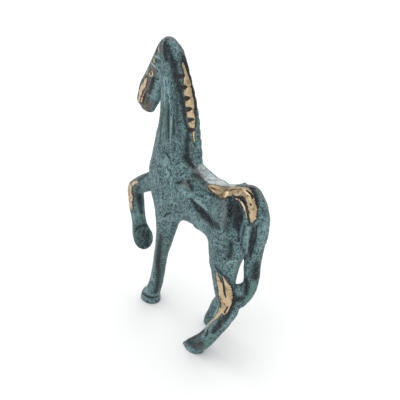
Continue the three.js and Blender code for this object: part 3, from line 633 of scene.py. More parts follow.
@dataclass
class Mane:
    """The upright comb of short locks down the back of the neck."""

    crest: Sweep = Sweep((
        (10.7, 0, 120.2, 1.8, 2),  # forelock
        (7.3, 0, 117.7, 1.9, 2.5),
        (4.9, 0, 111.2, 2, 3),
        (2.6, 0, 103.5, 2.1, 3.5),
        (0.8, 0, 96, 2.1, 3.7),
        (-0.5, 0, 88, 2.1, 3.5),
        (-1.7, 0, 81, 2.1, 3.1),
        (-2.4, 0, 76, 2.1, 2.8),  # withers
    ))
    furrow: Sweep = Sweep((
        (4.8, 2.8, 112, 0.5, 0.8), (2.9, 3, 105, 0.9, 1.4), (1.3, 3.1, 96, 1.1, 1.8),
        (0.8, 3.5, 88, 1.2, 1.8), (-0.2, 4.1, 81, 1.1, 1.6), (-2.6, 4.8, 76, 0.8, 1),
    ))
    locks: int = 9
    gilt_locks: int = 6
    lock_pitch: float = 3.85  # up the neck
    top_notch_height: float = 109.8
    band_width: float = 3.1  # of the comb's side, from its back edge to the furrow
    edge_half: float = 0.9  # of the rod that squares off the comb's back edge
    edge_set: float = 0.4
    edge_inset: float = 1.2
    notch_width: float = 2.2
    notch_rise: float = 0.8
    notch_half: float = 0.7
    notch_side: float = 2.4
    notch_lean: float = 0.5
    notch_shade: tuple[RoundStation, ...] = (  # counted from the notch's front
        (-0.4, 0, 0.1, 0.85), (-1.7, -0.4, 0.6, 0.8), (-3, -0.8, 1.1, 0.45),
    )
    marks: tuple[Mark, ...] = (
        Mark(Tone.GOLD, (  # the side of the comb
            (3.3, 1.2, 115.8, 0.3), (2.7, 1, 114.1, 0.45), (1.9, 0.8, 112, 0.5), (1.3, 1, 110.6, 0.8),
            (0.6, 1.2, 107.8, 1.2), (0.2, 1.5, 105.6, 1.4), (-0.3, 1.7, 103, 1.6), (-0.9, 1.8, 100.6, 1.7),
            (-1.3, 1.8, 97.8, 1.6), (-1.9, 1.7, 94.6, 1.3), (-2.4, 1.7, 92.2, 0.9), (-2.9, 1.6, 90.6, 0.35),
        )),
        Mark(Tone.GOLD, (  # the comb's back edge, down to the withers
            (-2.9, 1.2, 94.2, 0.25), (-3.1, 1.6, 90.5, 0.35), (-3.2, 1.4, 87.2, 0.35),
            (-3.8, 1.5, 84.3, 0.25),
        )),
        Mark(Tone.DARK, (  # painted shade in the furrow
            (6.4, 1.9, 114.3, 1.5), (5.8, 2, 110.8, 1.7), (4.6, 2.1, 107.4, 1.6), (3.3, 2, 103.9, 1.3),
            (2.1, 1.9, 99.4, 1), (1.4, 1.9, 95.8, 0.9), (0.5, 1.9, 92.1, 0.9), (-0.4, 1.9, 90, 0.9),
            (-0.5, 2.1, 88.1, 1.1), (0.1, 2.2, 83.7, 1.2), (-0.1, 2.1, 79.8, 1.2),
        ), strength=0.95),
        Mark(Tone.DARK, (  # the withers
            (0.3, 2.5, 79.7, 1.3), (-1.6, 2.1, 77.8, 1.3), (-3.8, 2.2, 76.6, 0.8),
        )),
        Mark(Tone.DARK, (
            (-4.5, 3.2, 74.2, 1.2), (-7.7, 2.7, 74.3, 1.2), (-10.9, 3.1, 73.3, 1.1),
        ), strength=0.75),
        Mark(Tone.MAUVE, (
            (-1.3, 2.5, 76.4, 0.7), (-4.5, 2.6, 75.9, 0.8), (-7, 2, 74.9, 0.8), (-10.3, 2.3, 73.5, 0.6),
        )),
        Mark(Tone.DARK, (  # painted shade on the back of the comb, down to where the green begins
            (3.6, 0, 116.8, 1), (3.1, 0, 115.2, 1.6), (2.1, 0, 112.5, 1.9), (0.9, 0, 109.2, 1.9),
            (-0.3, 0, 105.6, 1.8), (-1.5, 0, 101.9, 1.5), (-2.2, -0.4, 99, 0.9),
        ), ONCE),
    )

    def back_at(self, height: float) -> float:
        """Tell how far back the comb reaches at a height."""
        rows = np.array(self.crest.stations)[::-1]
        return float(np.interp(height, rows[:, 2], rows[:, 0] - rows[:, 4]))

    def edge(self) -> Sweep:
        """Work out the rod along the comb's back edge on the left.

        Returns:
            A rod that keeps the comb's back flat and its side a clean band.
        """
        half = self.edge_half
        return Sweep.wire(*(
            (x - depth + half + self.edge_set, width - self.edge_inset, z, half)
            for x, _, z, width, depth in self.crest.stations[1:]
        ))

    def notch(self, lock: int) -> Sweep:
        """Work out the cut under one lock, which rises from the comb's front toward its back.

        Args:
            lock: the lock's number from the top.

        Returns:
            The rod to carve on the left.
        """
        height = self.top_notch_height - lock * self.lock_pitch
        front = self.back_at(height) + self.band_width
        back, inner = front - self.notch_width, self.notch_side - self.notch_lean
        return Sweep.wire(
            (front, self.notch_side, height, self.notch_half),
            (back, inner, height + self.notch_rise, self.notch_half),
        )

    def model(self, clay: Clay) -> None:
        """Set the comb on the neck and square off its back edge."""
        clay.add(Melt.SHARP, self.crest)
        clay.add(Melt.CRISP, *(self.edge().on(side) for side in Side))

    def chase(self, clay: Clay, side: Side) -> None:
        """Carve the furrow in front of the comb and the notches between its locks."""
        clay.carve(Melt.SHARP, self.furrow, side=side)
        clay.carve(Melt.HAIRLINE, *(self.notch(lock) for lock in range(self.locks)), side=side)

    def notch_marks(self) -> tuple[Mark, ...]:
        """Cut the gold back in the notch under each gilt lock.

        Returns:
            One stroke a lock, from the front of its notch to the back.
        """
        fronts = (self.notch(lock).stations[0] for lock in range(self.gilt_locks))
        return tuple(
            Mark(Tone.CUT, tuple((x + dx, y + dy, z + dz, reach) for dx, dy, dz, reach in self.notch_shade))
            for x, y, z, *_ in fronts
        )


@dataclass
class Forelegs:
    """The planted left foreleg and the raised right one, with its sole cut flat."""

    left: Sweep = Sweep((
        (9, 3.6, 58, 4.6, 8.6),  # shoulder
        (9.8, 4, 48.5, 4.2, 5.2),  # elbow
        (12.5, 3.8, 37.3, 3.4, 3.4),  # forearm
        (15.1, 3.5, 29.1, 2.9, 2.8),  # knee
        (18, 2.9, 18.3, 2.7, 2.9),  # cannon
        (21, 2.3, 9.8, 2.8, 3),  # fetlock
        (23.4, 2, 4.6, 3.2, 3.6),  # coronet
        (25, 1.7, 1.4, 3.8, 4.6),  # hoof
        (25.4, 1.7, -3, 3.9, 4.6),
    ))
    right: Sweep = Sweep((
        (14, -4.5, 60, 4.5, 6.5),  # shoulder
        (26, -4.8, 55.6, 3.8, 4.6),  # elbow
        (34, -5.2, 51.2, 3.4, 3.8),  # forearm
        (39.5, -5.6, 47.2, 3.2, 3.7),
        (42.2, -5.8, 44.2, 3.1, 3.9),  # knee
        (42.3, -5.8, 38.4, 3, 3.9),  # cannon
        (41.4, -5.7, 32.6, 2.9, 3.5),
        (40.3, -5.5, 28, 3, 3.6),  # fetlock
        (39.4, -5.4, 24.9, 3.6, 4.3),  # coronet
        (37.6, -5, 22.8, 4.1, 5.2),  # hoof
        (33.8, -2.7, 23.6, 4.4, 5.5),  # cut off again by the sole's plane
    ))
    sole_place: Point = (36.6, -4.6, 22.9)
    sole_facing: Point = (-0.85, 0.47, 0.23)
    sole_reach: float = 9.0
    frog: Sweep = Sweep.wire((36.4, -6.3, 25.7, 0.4), (36, -5.6, 22.6, 0.55), (35.6, -4.6, 19.1, 0.4))
    marks: tuple[Mark, ...] = (
        Mark(Tone.GOLD, (
            (36.4, -2.3, 51.6, 0.4), (39.6, -2.7, 49.4, 0.8), (42.7, -2.9, 46.4, 1.1),
        ), ONCE, 0.95),
        Mark(Tone.GOLD, (  # the front of the raised cannon
            (42.6, -2.9, 46.6, 1.6), (43.2, -3.1, 44.2, 2.1), (43.5, -3.4, 41.1, 2.1),
            (43, -3.4, 38.4, 1.7), (42.2, -3.2, 35.9, 1.1),
        ), ONCE, 0.9),
        Mark(Tone.GOLD, (
            (39.8, -4.9, 51.4, 0.6), (43.6, -5.2, 48.6, 1.3), (45.9, -5.6, 44.6, 1.8),
            (46.1, -5.6, 39.6, 1.7), (44.8, -5.5, 35.4, 1),
        ), ONCE, 0.75),
        Mark(Tone.BROWN, ((41.6, -3, 37.6, 0.8), (41.2, -3, 35.6, 0.8)), ONCE),
        Mark(Tone.DARK, (
            (35, -2, 49.9, 0.9), (38, -3.5, 46.6, 1.2), (38.9, -4.8, 42.6, 1.4), (39.3, -5.3, 39.4, 1.3),
            (38.7, -5.2, 36.7, 1.2), (38.6, -5.4, 34.4, 0.9),
        ), ONCE, 0.9),
        Mark(Tone.DARK, ((35.8, -2.4, 52.5, 0.8), (32.8, -2.6, 55.3, 1), (30.6, -3, 57.4, 0.8)), ONCE, 0.8),
        Mark(Tone.GREEN, (
            (39.3, -3.4, 32.6, 0.8), (38.8, -4.4, 30.5, 1), (38.3, -4.5, 28.9, 0.6),
        ), ONCE, 0.9),
        Mark(Tone.DARK, (  # the ring round the raised sole
            (39.4, -1.8, 25.5, 0.4), (38.9, -2.6, 27.2, 0.5), (38.2, -4.3, 28.2, 0.5),
            (36.9, -6.9, 27.9, 0.5), (36.1, -8.4, 25.3, 0.4),
        ), ONCE, 0.9),
        Mark(Tone.DARK, ((36.2, -6.5, 25.2, 1), (35.5, -6.2, 22.1, 1.2), (35.4, -4.8, 19, 0.9)), ONCE, 0.8),
        Mark(Tone.DARK, ((37.1, -5.6, 26.6, 0.35), (36.9, -4.7, 24.1, 0.4), (36, -5.1, 21.7, 0.35)), ONCE),
        # painted shade over the far, raised hoof
        Mark(Tone.DARK, ((37, -4.4, 26, 4), (36.4, -4.2, 20, 4)), ONCE, 0.5),
        Mark(Tone.DARK, (  # painted reflection: dark down the middle of the planted leg
            (10, 7.5, 42.1, 1), (11.4, 7, 37, 1.2), (13.2, 6.2, 30.8, 1.3), (14.7, 5.6, 24.8, 1.2),
            (15.8, 4.6, 18.7, 1.1), (17.5, 3.8, 12.8, 1), (19.3, 3.6, 7.5, 0.9),
        ), strength=0.85),
        # painted reflection: lighter toward the front of the planted leg
        Mark(Tone.PALE, (
            (16.7, 6, 25.4, 0.6), (18.2, 5.6, 19.5, 0.6), (20.1, 5.2, 13.6, 0.6),
        ), strength=0.8),
        Mark(Tone.DARK, (
            (27.5, 4.5, 3.4, 0.5), (23.3, 5.2, 3.9, 0.6), (20.7, 4, 4, 0.6), (19.8, 2.2, 4.4, 0.5),
        )),
    )

    def model(self, clay: Clay) -> None:
        """Grow both forelegs from the chest."""
        clay.add(Melt.MUSCLE, self.left, self.right)

    def cut_sole(self, clay: Clay) -> None:
        """Cut the raised sole flat and draw the frog's cleft in it."""
        clay.slice_off(self.sole_place, self.sole_facing, self.sole_reach)
        clay.carve(Melt.HAIRLINE, self.frog)


@dataclass
class Hindquarters:
    """Haunches and hind legs, with the hollow behind the hip and the worn hock."""

    left_haunch: Sweep = Sweep((
        (-26, 2.4, 74.6, 2.4, 3),  # croup
        (-26, 3.6, 68, 4.6, 8.8),
        (-25.7, 4.6, 60, 4.8, 9.4),  # thigh
        (-24.9, 5.8, 52.3, 4.4, 7.8),  # stifle
        (-25, 6.5, 46.3, 3.8, 6.2),
    ))
    right_haunch: Sweep = Sweep((
        (-26, -2.4, 74.6, 2.4, 3),  # croup
        (-25.4, -3.6, 68, 4.4, 8.2),
        (-24.4, -4.6, 60, 4.4, 8.4),  # thigh
        (-22.4, -5.6, 52.3, 4, 7),  # stifle
    ))
    left_leg: Sweep = Sweep((
        (-25, 6.5, 46.3, 3.8, 6.2),  # gaskin
        (-25.8, 7.1, 40, 3.4, 5.2),
        (-26.9, 7.5, 35.6, 3.3, 4.8),  # hock
        (-29.3, 7.9, 31, 3.2, 4.7),
        (-27.3, 8.3, 24.4, 3.2, 3.8),  # cannon
        (-22.2, 8.8, 15, 3.2, 3.3),
        (-16.9, 9.1, 6.9, 3.2, 3.4),  # fetlock
        (-13.8, 9.3, 3.3, 3.2, 3.5),  # coronet
        (-11.9, 9.6, 0, 3.1, 4.3),  # hoof
        (-11.5, 9.6, -3, 3.1, 4.3),
    ))
    left_toe: Sweep = Sweep((
        (-14, 8.6, 3.4, 2.4, 2.4), (-10.5, 9.2, 1.4, 2.2, 1.8), (-7.4, 10.3, 0, 1.1, 1.1),
    ))
    right_leg: Sweep = Sweep((
        (-22.4, -5.6, 52, 4, 7),  # stifle
        (-19, -6.2, 43.6, 3.2, 3.9),  # gaskin
        (-16.2, -6.6, 36, 3, 3.3),  # hock
        (-14.6, -6.7, 29, 2.9, 3),
        (-12.8, -6.8, 20, 2.7, 2.8),  # cannon
        (-7.7, -6.9, 10.8, 2.7, 2.8),
        (-5.7, -6.9, 5, 2.9, 3.1),  # fetlock
        (-4.9, -6.9, 1.6, 3.2, 3.9),  # hoof
        (-4.6, -6.9, -3, 3.4, 4.1),
    ))
    hip_ridge: Sweep = Sweep.wire(
        (-23.4, 4.6, 75, 0.9), (-23.9, 5.8, 71.5, 1), (-24, 6.4, 66.5, 1), (-23.6, 6.8, 62, 0.9),
    )
    hollow: Sweep = Sweep((
        (-28.6, 6.4, 73, 1.8, 2), (-30.2, 6.5, 69.2, 2.6, 3.2), (-29.8, 7.7, 63.8, 2.2, 3.1),
        (-29.4, 9.5, 57, 1.6, 2.8),
    ))
    hollow_rim: Sweep = Sweep.wire(
        (-27.4, 4.8, 74.5, 0.3), (-28.3, 4.1, 74.9, 0.5), (-29.6, 3.5, 74.4, 0.55),
        (-31.1, 3.3, 73.4, 0.55), (-32.4, 3.5, 72, 0.55), (-33.5, 4.1, 70.7, 0.5), (-34.2, 4.7, 69.4, 0.3),
    )
    hip_line: Sweep = Sweep.wire(
        (-24.1, 5.7, 74.4, 0.3), (-25.3, 6.4, 72.7, 0.4), (-26.1, 7.3, 70.6, 0.4), (-26.8, 7.9, 68.7, 0.4),
        (-26.9, 8.2, 66.4, 0.3),
    )
    hock_slit: Sweep = Sweep.wire(
        (-27.6, 10.2, 42, 0.3), (-28.4, 10.3, 39.3, 0.4), (-29.4, 10.3, 37.1, 0.4),
        (-30.2, 10.3, 35.4, 0.3),
    )
    marks: tuple[Mark, ...] = (
        Mark(Tone.GOLD, (  # the rim of the hollow
            (-27.5, 4.8, 74.8, 0.22), (-28.8, 4.1, 74.9, 0.35), (-30.1, 3.7, 74.2, 0.4),
            (-31.6, 3.6, 73, 0.4), (-33, 4.1, 71.5, 0.38), (-34.4, 4.8, 70, 0.28),
        )),
        Mark(Tone.DARK, (  # painted shade in the groove beside the rim
            (-28, 4, 75.6, 0.4), (-29.9, 3.2, 75.1, 0.4), (-31.7, 3.1, 73.9, 0.45), (-33.6, 4, 72.2, 0.45),
            (-35.2, 4.7, 69.6, 0.4), (-35.6, 4.8, 67.4, 0.35),
        )),
        Mark(Tone.MAUVE, (  # the band down the hip
            (-21.2, 5.3, 72.4, 0.8), (-24.4, 6.8, 72.4, 0.9), (-25.7, 7.5, 70.5, 0.9),
            (-26.7, 8.4, 67.1, 0.8), (-26.7, 7.8, 63.7, 0.6),
        ), strength=0.8),
        Mark(Tone.BROWN, ((-20, 4.8, 72.2, 0.5), (-23.7, 6, 74, 0.6), (-25.1, 5.6, 74.1, 0.5))),
        Mark(Tone.DARK, ((-26.2, 5.2, 74.6, 1.1), (-27, 5.5, 71.8, 1.3), (-27.3, 5.9, 68.8, 1.2))),
        Mark(Tone.DARK, (  # painted shade in the hollow
            (-28.6, 4.6, 73.8, 1.6), (-29.7, 4.1, 70.9, 2.2), (-29.9, 4.1, 67.7, 2.2),
            (-29.6, 4.8, 65.4, 1.7), (-32, 6.1, 63.8, 0.9), (-33, 7.3, 61, 0.5),
        )),
        Mark(Tone.DARK, (
            (-24.1, 7, 74, 0.3), (-23.6, 7.8, 70.6, 0.45), (-24.2, 9, 66.6, 0.45), (-24.6, 8.9, 62.6, 0.4),
        ), strength=0.7),
        Mark(Tone.GOLD, (  # the front of the left hock
            (-25.4, 10.5, 44.9, 0.3), (-26.3, 10.4, 42.2, 0.9), (-27.4, 10.4, 39.2, 1.1),
            (-28.3, 10.5, 36.4, 1.2), (-29, 10.7, 34, 1.3), (-29, 10.9, 31.4, 1.1),
            (-28.2, 11.1, 28.7, 0.8), (-26.3, 11.3, 25, 0.5), (-23.9, 11.1, 21.9, 0.35),
            (-21.7, 11.1, 18.5, 0.28),
        ), ONCE),
        Mark(Tone.GOLD, (  # its back
            (-28.1, 10, 44, 0.3), (-28.8, 9.7, 42, 0.8), (-29.9, 9.3, 39.7, 1.2), (-30.8, 9.2, 37.1, 1.3),
            (-31.2, 9.8, 35.2, 1.3), (-31, 10.3, 33.2, 1), (-30.4, 10.8, 30.9, 0.7),
            (-29.6, 11.1, 29, 0.35),
        ), ONCE),
        Mark(Tone.GOLD, (
            (-31.9, 9.9, 34.2, 0.8), (-31.4, 10.8, 30.8, 0.5), (-30.3, 11.1, 28.7, 0.3),
        ), ONCE, 0.9),
        Mark(Tone.CUT, (
            (-27.8, 10.2, 44.6, 0.22), (-28.5, 9.9, 41.1, 0.38), (-29.3, 10.1, 37.6, 0.42),
            (-30.1, 10.1, 36, 0.25),
        ), ONCE),
        Mark(Tone.CUT, ((-28.4, 11, 33.1, 0.3), (-28.3, 11, 30.8, 0.35)), ONCE),
        Mark(Tone.CUT, ((-31.6, 10.5, 32.8, 0.28), (-30.5, 11, 29.7, 0.35)), ONCE),
        Mark(Tone.DARK, (  # round the gold
            (-24.9, 10.5, 47.2, 0.5), (-27.4, 10.3, 45.6, 0.45), (-29.6, 9.3, 44, 0.5),
            (-30.6, 8.6, 42.3, 0.6), (-31.6, 8, 38.7, 0.7), (-32.6, 8.2, 35.7, 0.9), (-32.9, 9.5, 33.1, 1),
            (-31.9, 10.6, 29.8, 1), (-30.1, 11, 25.9, 1.1), (-28.5, 11.3, 23, 1.1),
            (-24.9, 11.7, 17.4, 0.9),
        ), ONCE),
        Mark(Tone.DARK, (
            (-29.5, 7.5, 57.9, 1.1), (-30.4, 8.5, 55.6, 1.3), (-30.1, 9.2, 53.1, 1),
        ), ONCE, 0.8),
        Mark(Tone.PALE, (
            (-29.6, 9.3, 50.5, 0.4), (-31.2, 8.4, 51.8, 0.45), (-32.4, 7.2, 52.2, 0.35),
        ), ONCE),
        Mark(Tone.PALE, (
            (-33.2, 9.2, 29.6, 0.6), (-31.2, 10.3, 24.6, 0.7), (-28.4, 10.8, 19.4, 0.6),
        ), ONCE, 0.7),
        Mark(Tone.GREEN, (
            (-25.3, 11.5, 17.1, 0.9), (-22.8, 11.6, 12.6, 1.2), (-20.7, 11.2, 8.1, 1.1),
        ), ONCE, 0.85),
        Mark(Tone.DARK, ((-29, 11.3, 26.1, 0.8), (-28.2, 11.4, 23.6, 0.9), (-26.9, 11.4, 20.5, 0.7)), ONCE),
        Mark(Tone.DARK, ((-22.4, 11.8, 17, 0.4), (-22, 12, 14.9, 0.5), (-21.3, 12.1, 13.2, 0.4)), ONCE),
        Mark(Tone.DARK, (  # the top of the hoof
            (-19.9, 11.4, 14.9, 0.6), (-16, 10.9, 10.2, 0.9), (-12.4, 11, 6.1, 1), (-10.1, 11.5, 3.2, 0.9),
        ), ONCE),
        Mark(Tone.MAUVE, (
            (-17.7, 12.1, 9.2, 1.1), (-18.2, 12.1, 6.8, 1.4), (-17.4, 11.6, 3.6, 1),
        ), ONCE, 0.9),
        # painted shade over the hind hoof
        Mark(Tone.DARK, ((-13, 12, 4.8, 2.4), (-16.4, 12, 6, 2.4), (-19, 12, 8.6, 1.6)), ONCE, 0.75),
        Mark(Tone.DARK, (
            (-11.5, 12, 3.8, 0.9), (-14.4, 12.4, 4.1, 1.1), (-16.6, 11.9, 2.4, 0.9),
        ), ONCE, 0.7),
        # painted reflection down the left hind cannon
        Mark(Tone.SHEEN, ((-23.1, 11, 20.8, 0.24), (-21.3, 11, 18, 0.28), (-19.5, 10.9, 15.3, 0.24)), ONCE),
        Mark(Tone.GOLD, (  # the right hock, on its outer side
            (-16.8, -9.6, 39, 0.4), (-16.4, -9.7, 35.5, 0.8), (-15, -9.7, 31.6, 0.7),
            (-13.2, -9.6, 26.5, 0.4),
        ), ONCE),
    )

    def model(self, clay: Clay) -> None:
        """Build both haunches, the legs under them and the ridges of the hips.

        Args:
            clay: the figure so far.
        """
        clay.add(Melt.SOFT, self.left_haunch, self.right_haunch)
        clay.add(Melt.CRISP, self.left_leg, self.right_leg, self.left_toe)
        clay.add(Melt.CRISP, *(self.hip_ridge.on(side) for side in Side))

    def hollow_out(self, clay: Clay, side: Side) -> None:
        """Carve the hollow behind the hip."""
        clay.carve(Melt.CRISP, self.hollow, side=side)

    def chase(self, clay: Clay, side: Side) -> None:
        """Raise the thin rim of the hollow and the line down the hip, and slit the left hock.

        Args:
            clay: the figure so far.
            side: the side that is worked on.
        """
        clay.add(Melt.HAIRLINE, self.hollow_rim, self.hip_line, side=side)
        if side is Side.LEFT:
            clay.carve(Melt.HAIRLINE, self.hock_slit)


@dataclass
class Back:
    """The flat of the back between two rolled ridges, and the folds of the flank under them."""

    flat: Sweep = Sweep((
        (-2.6, 0, 74.4, 2.6, 2), (-6.4, 0, 73, 2.6, 1.8), (-10.6, 0, 71.7, 2.8, 1.6),
        (-15, 0, 71.8, 2.2, 1.6), (-19, 0, 72.4, 1.5, 1.4),
    ))
    ridge: Sweep = Sweep((
        (-3.6, 0.8, 75.4, 1.6, 1.4),  # withers
        (-6.2, 2.1, 73.8, 1.5, 1.2),
        (-10.3, 2.7, 72.1, 1.4, 1.3),
        (-14.9, 2.2, 72.3, 1.6, 1.6),
        (-18.5, 1.4, 72.5, 1.7, 1.7),  # lowest of the back
        (-22.1, 1.3, 73.6, 1.7, 1.7),
        (-26, 1.5, 75.2, 1.7, 1.7),
        (-29.6, 1.7, 76.9, 1.7, 1.7),  # croup
        (-32.3, 1.9, 76.5, 1.7, 1.7),
        (-34, 2.2, 74.1, 1.7, 1.7),
        (-34.8, 2.8, 71, 1.7, 1.7),  # buttock
        (-34.4, 3.6, 67.4, 1.6, 1.6),
        (-33, 4.4, 60, 1.6, 1.6),
        (-31.8, 5.4, 53.4, 1.5, 1.5),
    ))
    flank_fold: Sweep = Sweep(((-9, 3.2, 55.6, 3, 3), (-15, 4, 56.2, 3.2, 3.2), (-20, 5.2, 56, 3.4, 3.6)))
    flank_groove: Sweep = Sweep((
        (-5, 8.5, 66.6, 0.8, 0.8), (-9.4, 7.8, 65, 1.4, 1.2), (-13.6, 7.2, 63.2, 1.7, 1.4),
        (-17.6, 7.4, 62, 1.6, 1.3), (-20.4, 8.4, 61.4, 1.3, 1.2),
    ))
    ridge_seam: Sweep = Sweep.wire(
        (-14.4, 3.8, 73.6, 0.25), (-17, 3.5, 73.7, 0.35), (-19.8, 3.5, 74.2, 0.4), (-22.6, 3.9, 75.6, 0.4),
        (-25.4, 3.3, 77.3, 0.35), (-28.8, 2.8, 78.7, 0.2),
    )
    shoulder_fold: Sweep = Sweep.wire(
        (-2.1, 5.3, 71.8, 0.2), (-3.4, 5.5, 70.7, 0.4), (-5.1, 5.8, 69.6, 0.2),
    )
    marks: tuple[Mark, ...] = (
        Mark(Tone.GOLD, (  # the ridge, over the croup and down the buttock
            (-13.6, 3.3, 73.4, 0.6), (-15.3, 3.4, 73.3, 1.3), (-17.3, 3.3, 73.2, 1.8),
            (-19.8, 3.4, 73.7, 2), (-22.6, 4, 75, 2.1), (-25.2, 3.3, 76.6, 2.1), (-27.4, 2.6, 77.5, 1.9),
            (-29.5, 2.4, 78.2, 1.9), (-31.6, 2.6, 78.3, 1.8), (-33.5, 3, 77.2, 1.6),
            (-34.7, 3.3, 75.4, 1.45), (-35.8, 3.6, 73.4, 1.35), (-36.4, 3.8, 71.2, 1.15),
            (-36.2, 3.9, 68.9, 0.6),
        )),
        Mark(Tone.SEAM, (
            (-14.2, 3.6, 73.1, 0.3), (-16.4, 3.4, 73.3, 0.42), (-18.8, 3.3, 73.6, 0.45),
            (-22, 3.9, 75.1, 0.45), (-24.4, 3.5, 76.7, 0.45), (-26.5, 2.8, 77.6, 0.4),
            (-28.4, 2.6, 78.2, 0.25),
        ), strength=0.9),
        Mark(Tone.BROWN, ((-12.5, 3.3, 73.3, 0.6), (-13.8, 3.8, 72.7, 0.7), (-14.8, 3.7, 71.9, 0.6))),
        Mark(Tone.CUT, (
            (-31, 2, 78.6, 0.35), (-32.2, 2, 78.4, 0.45), (-33.4, 1.9, 77.8, 0.5), (-34.2, 2.2, 77, 0.35),
        )),
        Mark(Tone.CUT, ((-32.5, 3.1, 77.7, 0.25), (-32.8, 3.1, 77.5, 0.25))),
        Mark(Tone.CUT, ((-34.5, 3.5, 75.3, 0.3), (-34.8, 3.5, 74.9, 0.3))),
        Mark(Tone.DARK, (  # painted shade right of the gold, over the buttock
            (-31, -0.5, 78.4, 0.9), (-33.4, 0.5, 77.5, 1.2), (-35, 1.3, 76.2, 1.3), (-36.1, 2.1, 74.6, 1),
        ), ONCE),
        Mark(Tone.MAUVE, (
            (-28.3, -1.5, 78.3, 1), (-30, -2.4, 78.4, 1.1), (-33, -2.2, 78, 1.2), (-35, -1.6, 76.2, 1),
        ), ONCE),
        Mark(Tone.DARK, (  # the groove of the flank
            (-7.1, 6.6, 66.3, 0.7), (-9.9, 6.2, 64.4, 1.1), (-12.4, 5.9, 62.9, 1.4),
            (-15.6, 5.8, 61.7, 1.5), (-21.1, 8.4, 63.1, 1.4), (-24.6, 9, 63.5, 1),
        )),
        Mark(Tone.PALE, (
            (-1.4, 7, 68.1, 0.7), (-4.6, 6.8, 67.4, 0.9), (-7.6, 6.6, 66.8, 1), (-11, 6.1, 66.2, 1),
            (-15, 6, 65.4, 0.8),
        ), strength=0.75),
        Mark(Tone.BROWN, ((-2.4, 5.5, 71.4, 0.4), (-3.5, 5.7, 70.5, 0.5), (-4.8, 5.7, 69.8, 0.35))),
        Mark(Tone.DARK, ((-4.1, 4.9, 71.6, 0.8), (-5.7, 5.2, 70.4, 1), (-7, 5.4, 69.7, 0.7)), strength=0.9),
        Mark(Tone.DARK, (
            (-10, 5.3, 69.3, 0.6), (-11.6, 5.2, 69, 0.7), (-12.9, 5.4, 68.4, 0.5),
        ), strength=0.8),
        Mark(Tone.DARK, ((0.6, 6.9, 69.9, 0.4), (-0.3, 6.5, 70.3, 0.55), (-1.4, 6, 71, 0.4)), ONCE, 0.9),
        Mark(Tone.DARK, (
            (9.4, 5.8, 79.2, 0.3), (7.6, 5.7, 79.1, 0.4), (6.2, 5.7, 77.9, 0.4), (5, 5.7, 76.5, 0.35),
        ), strength=0.8),
        Mark(Tone.DARK, ((6.9, 8, 52.7, 0.35), (5.4, 7.9, 54.5, 0.4), (3.3, 7.5, 55.8, 0.4)), strength=0.9),
        Mark(Tone.DARK, ((0.9, 7.3, 57.5, 0.35), (-0.7, 7, 57.8, 0.4)), strength=0.9),
        Mark(Tone.GREEN, ((6, 8.1, 64.2, 0.9), (5.7, 8.4, 60, 1.1), (5.1, 8, 56.1, 0.9)), strength=0.6),
        Mark(Tone.PALE, ((7.2, 6.2, 75.9, 1.4), (5.8, 7, 72.5, 1.8), (4, 7.7, 69.2, 1.6)), strength=0.55),
        Mark(Tone.SHEEN, (  # painted reflection on the flat of the back
            (-4.6, -0.4, 76, 1.6), (-7.4, -0.4, 74.8, 2.2), (-10.4, -0.2, 73.6, 2.4),
            (-14, -0.2, 73.5, 2.2), (-18.5, 0, 74.4, 1.6), (-23, 0.4, 76.2, 1),
        ), ONCE),
        # painted shade: a soft grey band across the painted reflection on the flat of the back
        Mark(Tone.MAUVE, (
            (-9.8, 0.9, 73.6, 0.4), (-10.8, -0.2, 73.3, 0.5), (-12.4, -1.8, 73.4, 0.4),
        ), ONCE, 0.7),
    )

    def model(self, clay: Clay) -> None:
        """Lay the flat of the back, its ridges and the folds of the flanks.

        Args:
            clay: the figure so far.
        """
        clay.add(Melt.CRISP, self.flat)
        for side in Side:
            clay.add(Melt.CRISP, self.ridge, self.flank_fold, side=side)

    def hollow_out(self, clay: Clay, side: Side) -> None:
        """Carve the groove that runs down the flank."""
        clay.carve(Melt.CRISP, self.flank_groove, side=side)

    def chase(self, clay: Clay, side: Side) -> None:
        """Part the ridge into two rolls and raise the small fold behind the shoulder."""
        clay.carve(Melt.HAIRLINE, self.ridge_seam, side=side)
        clay.add(Melt.HAIRLINE, self.shoulder_fold, side=side)


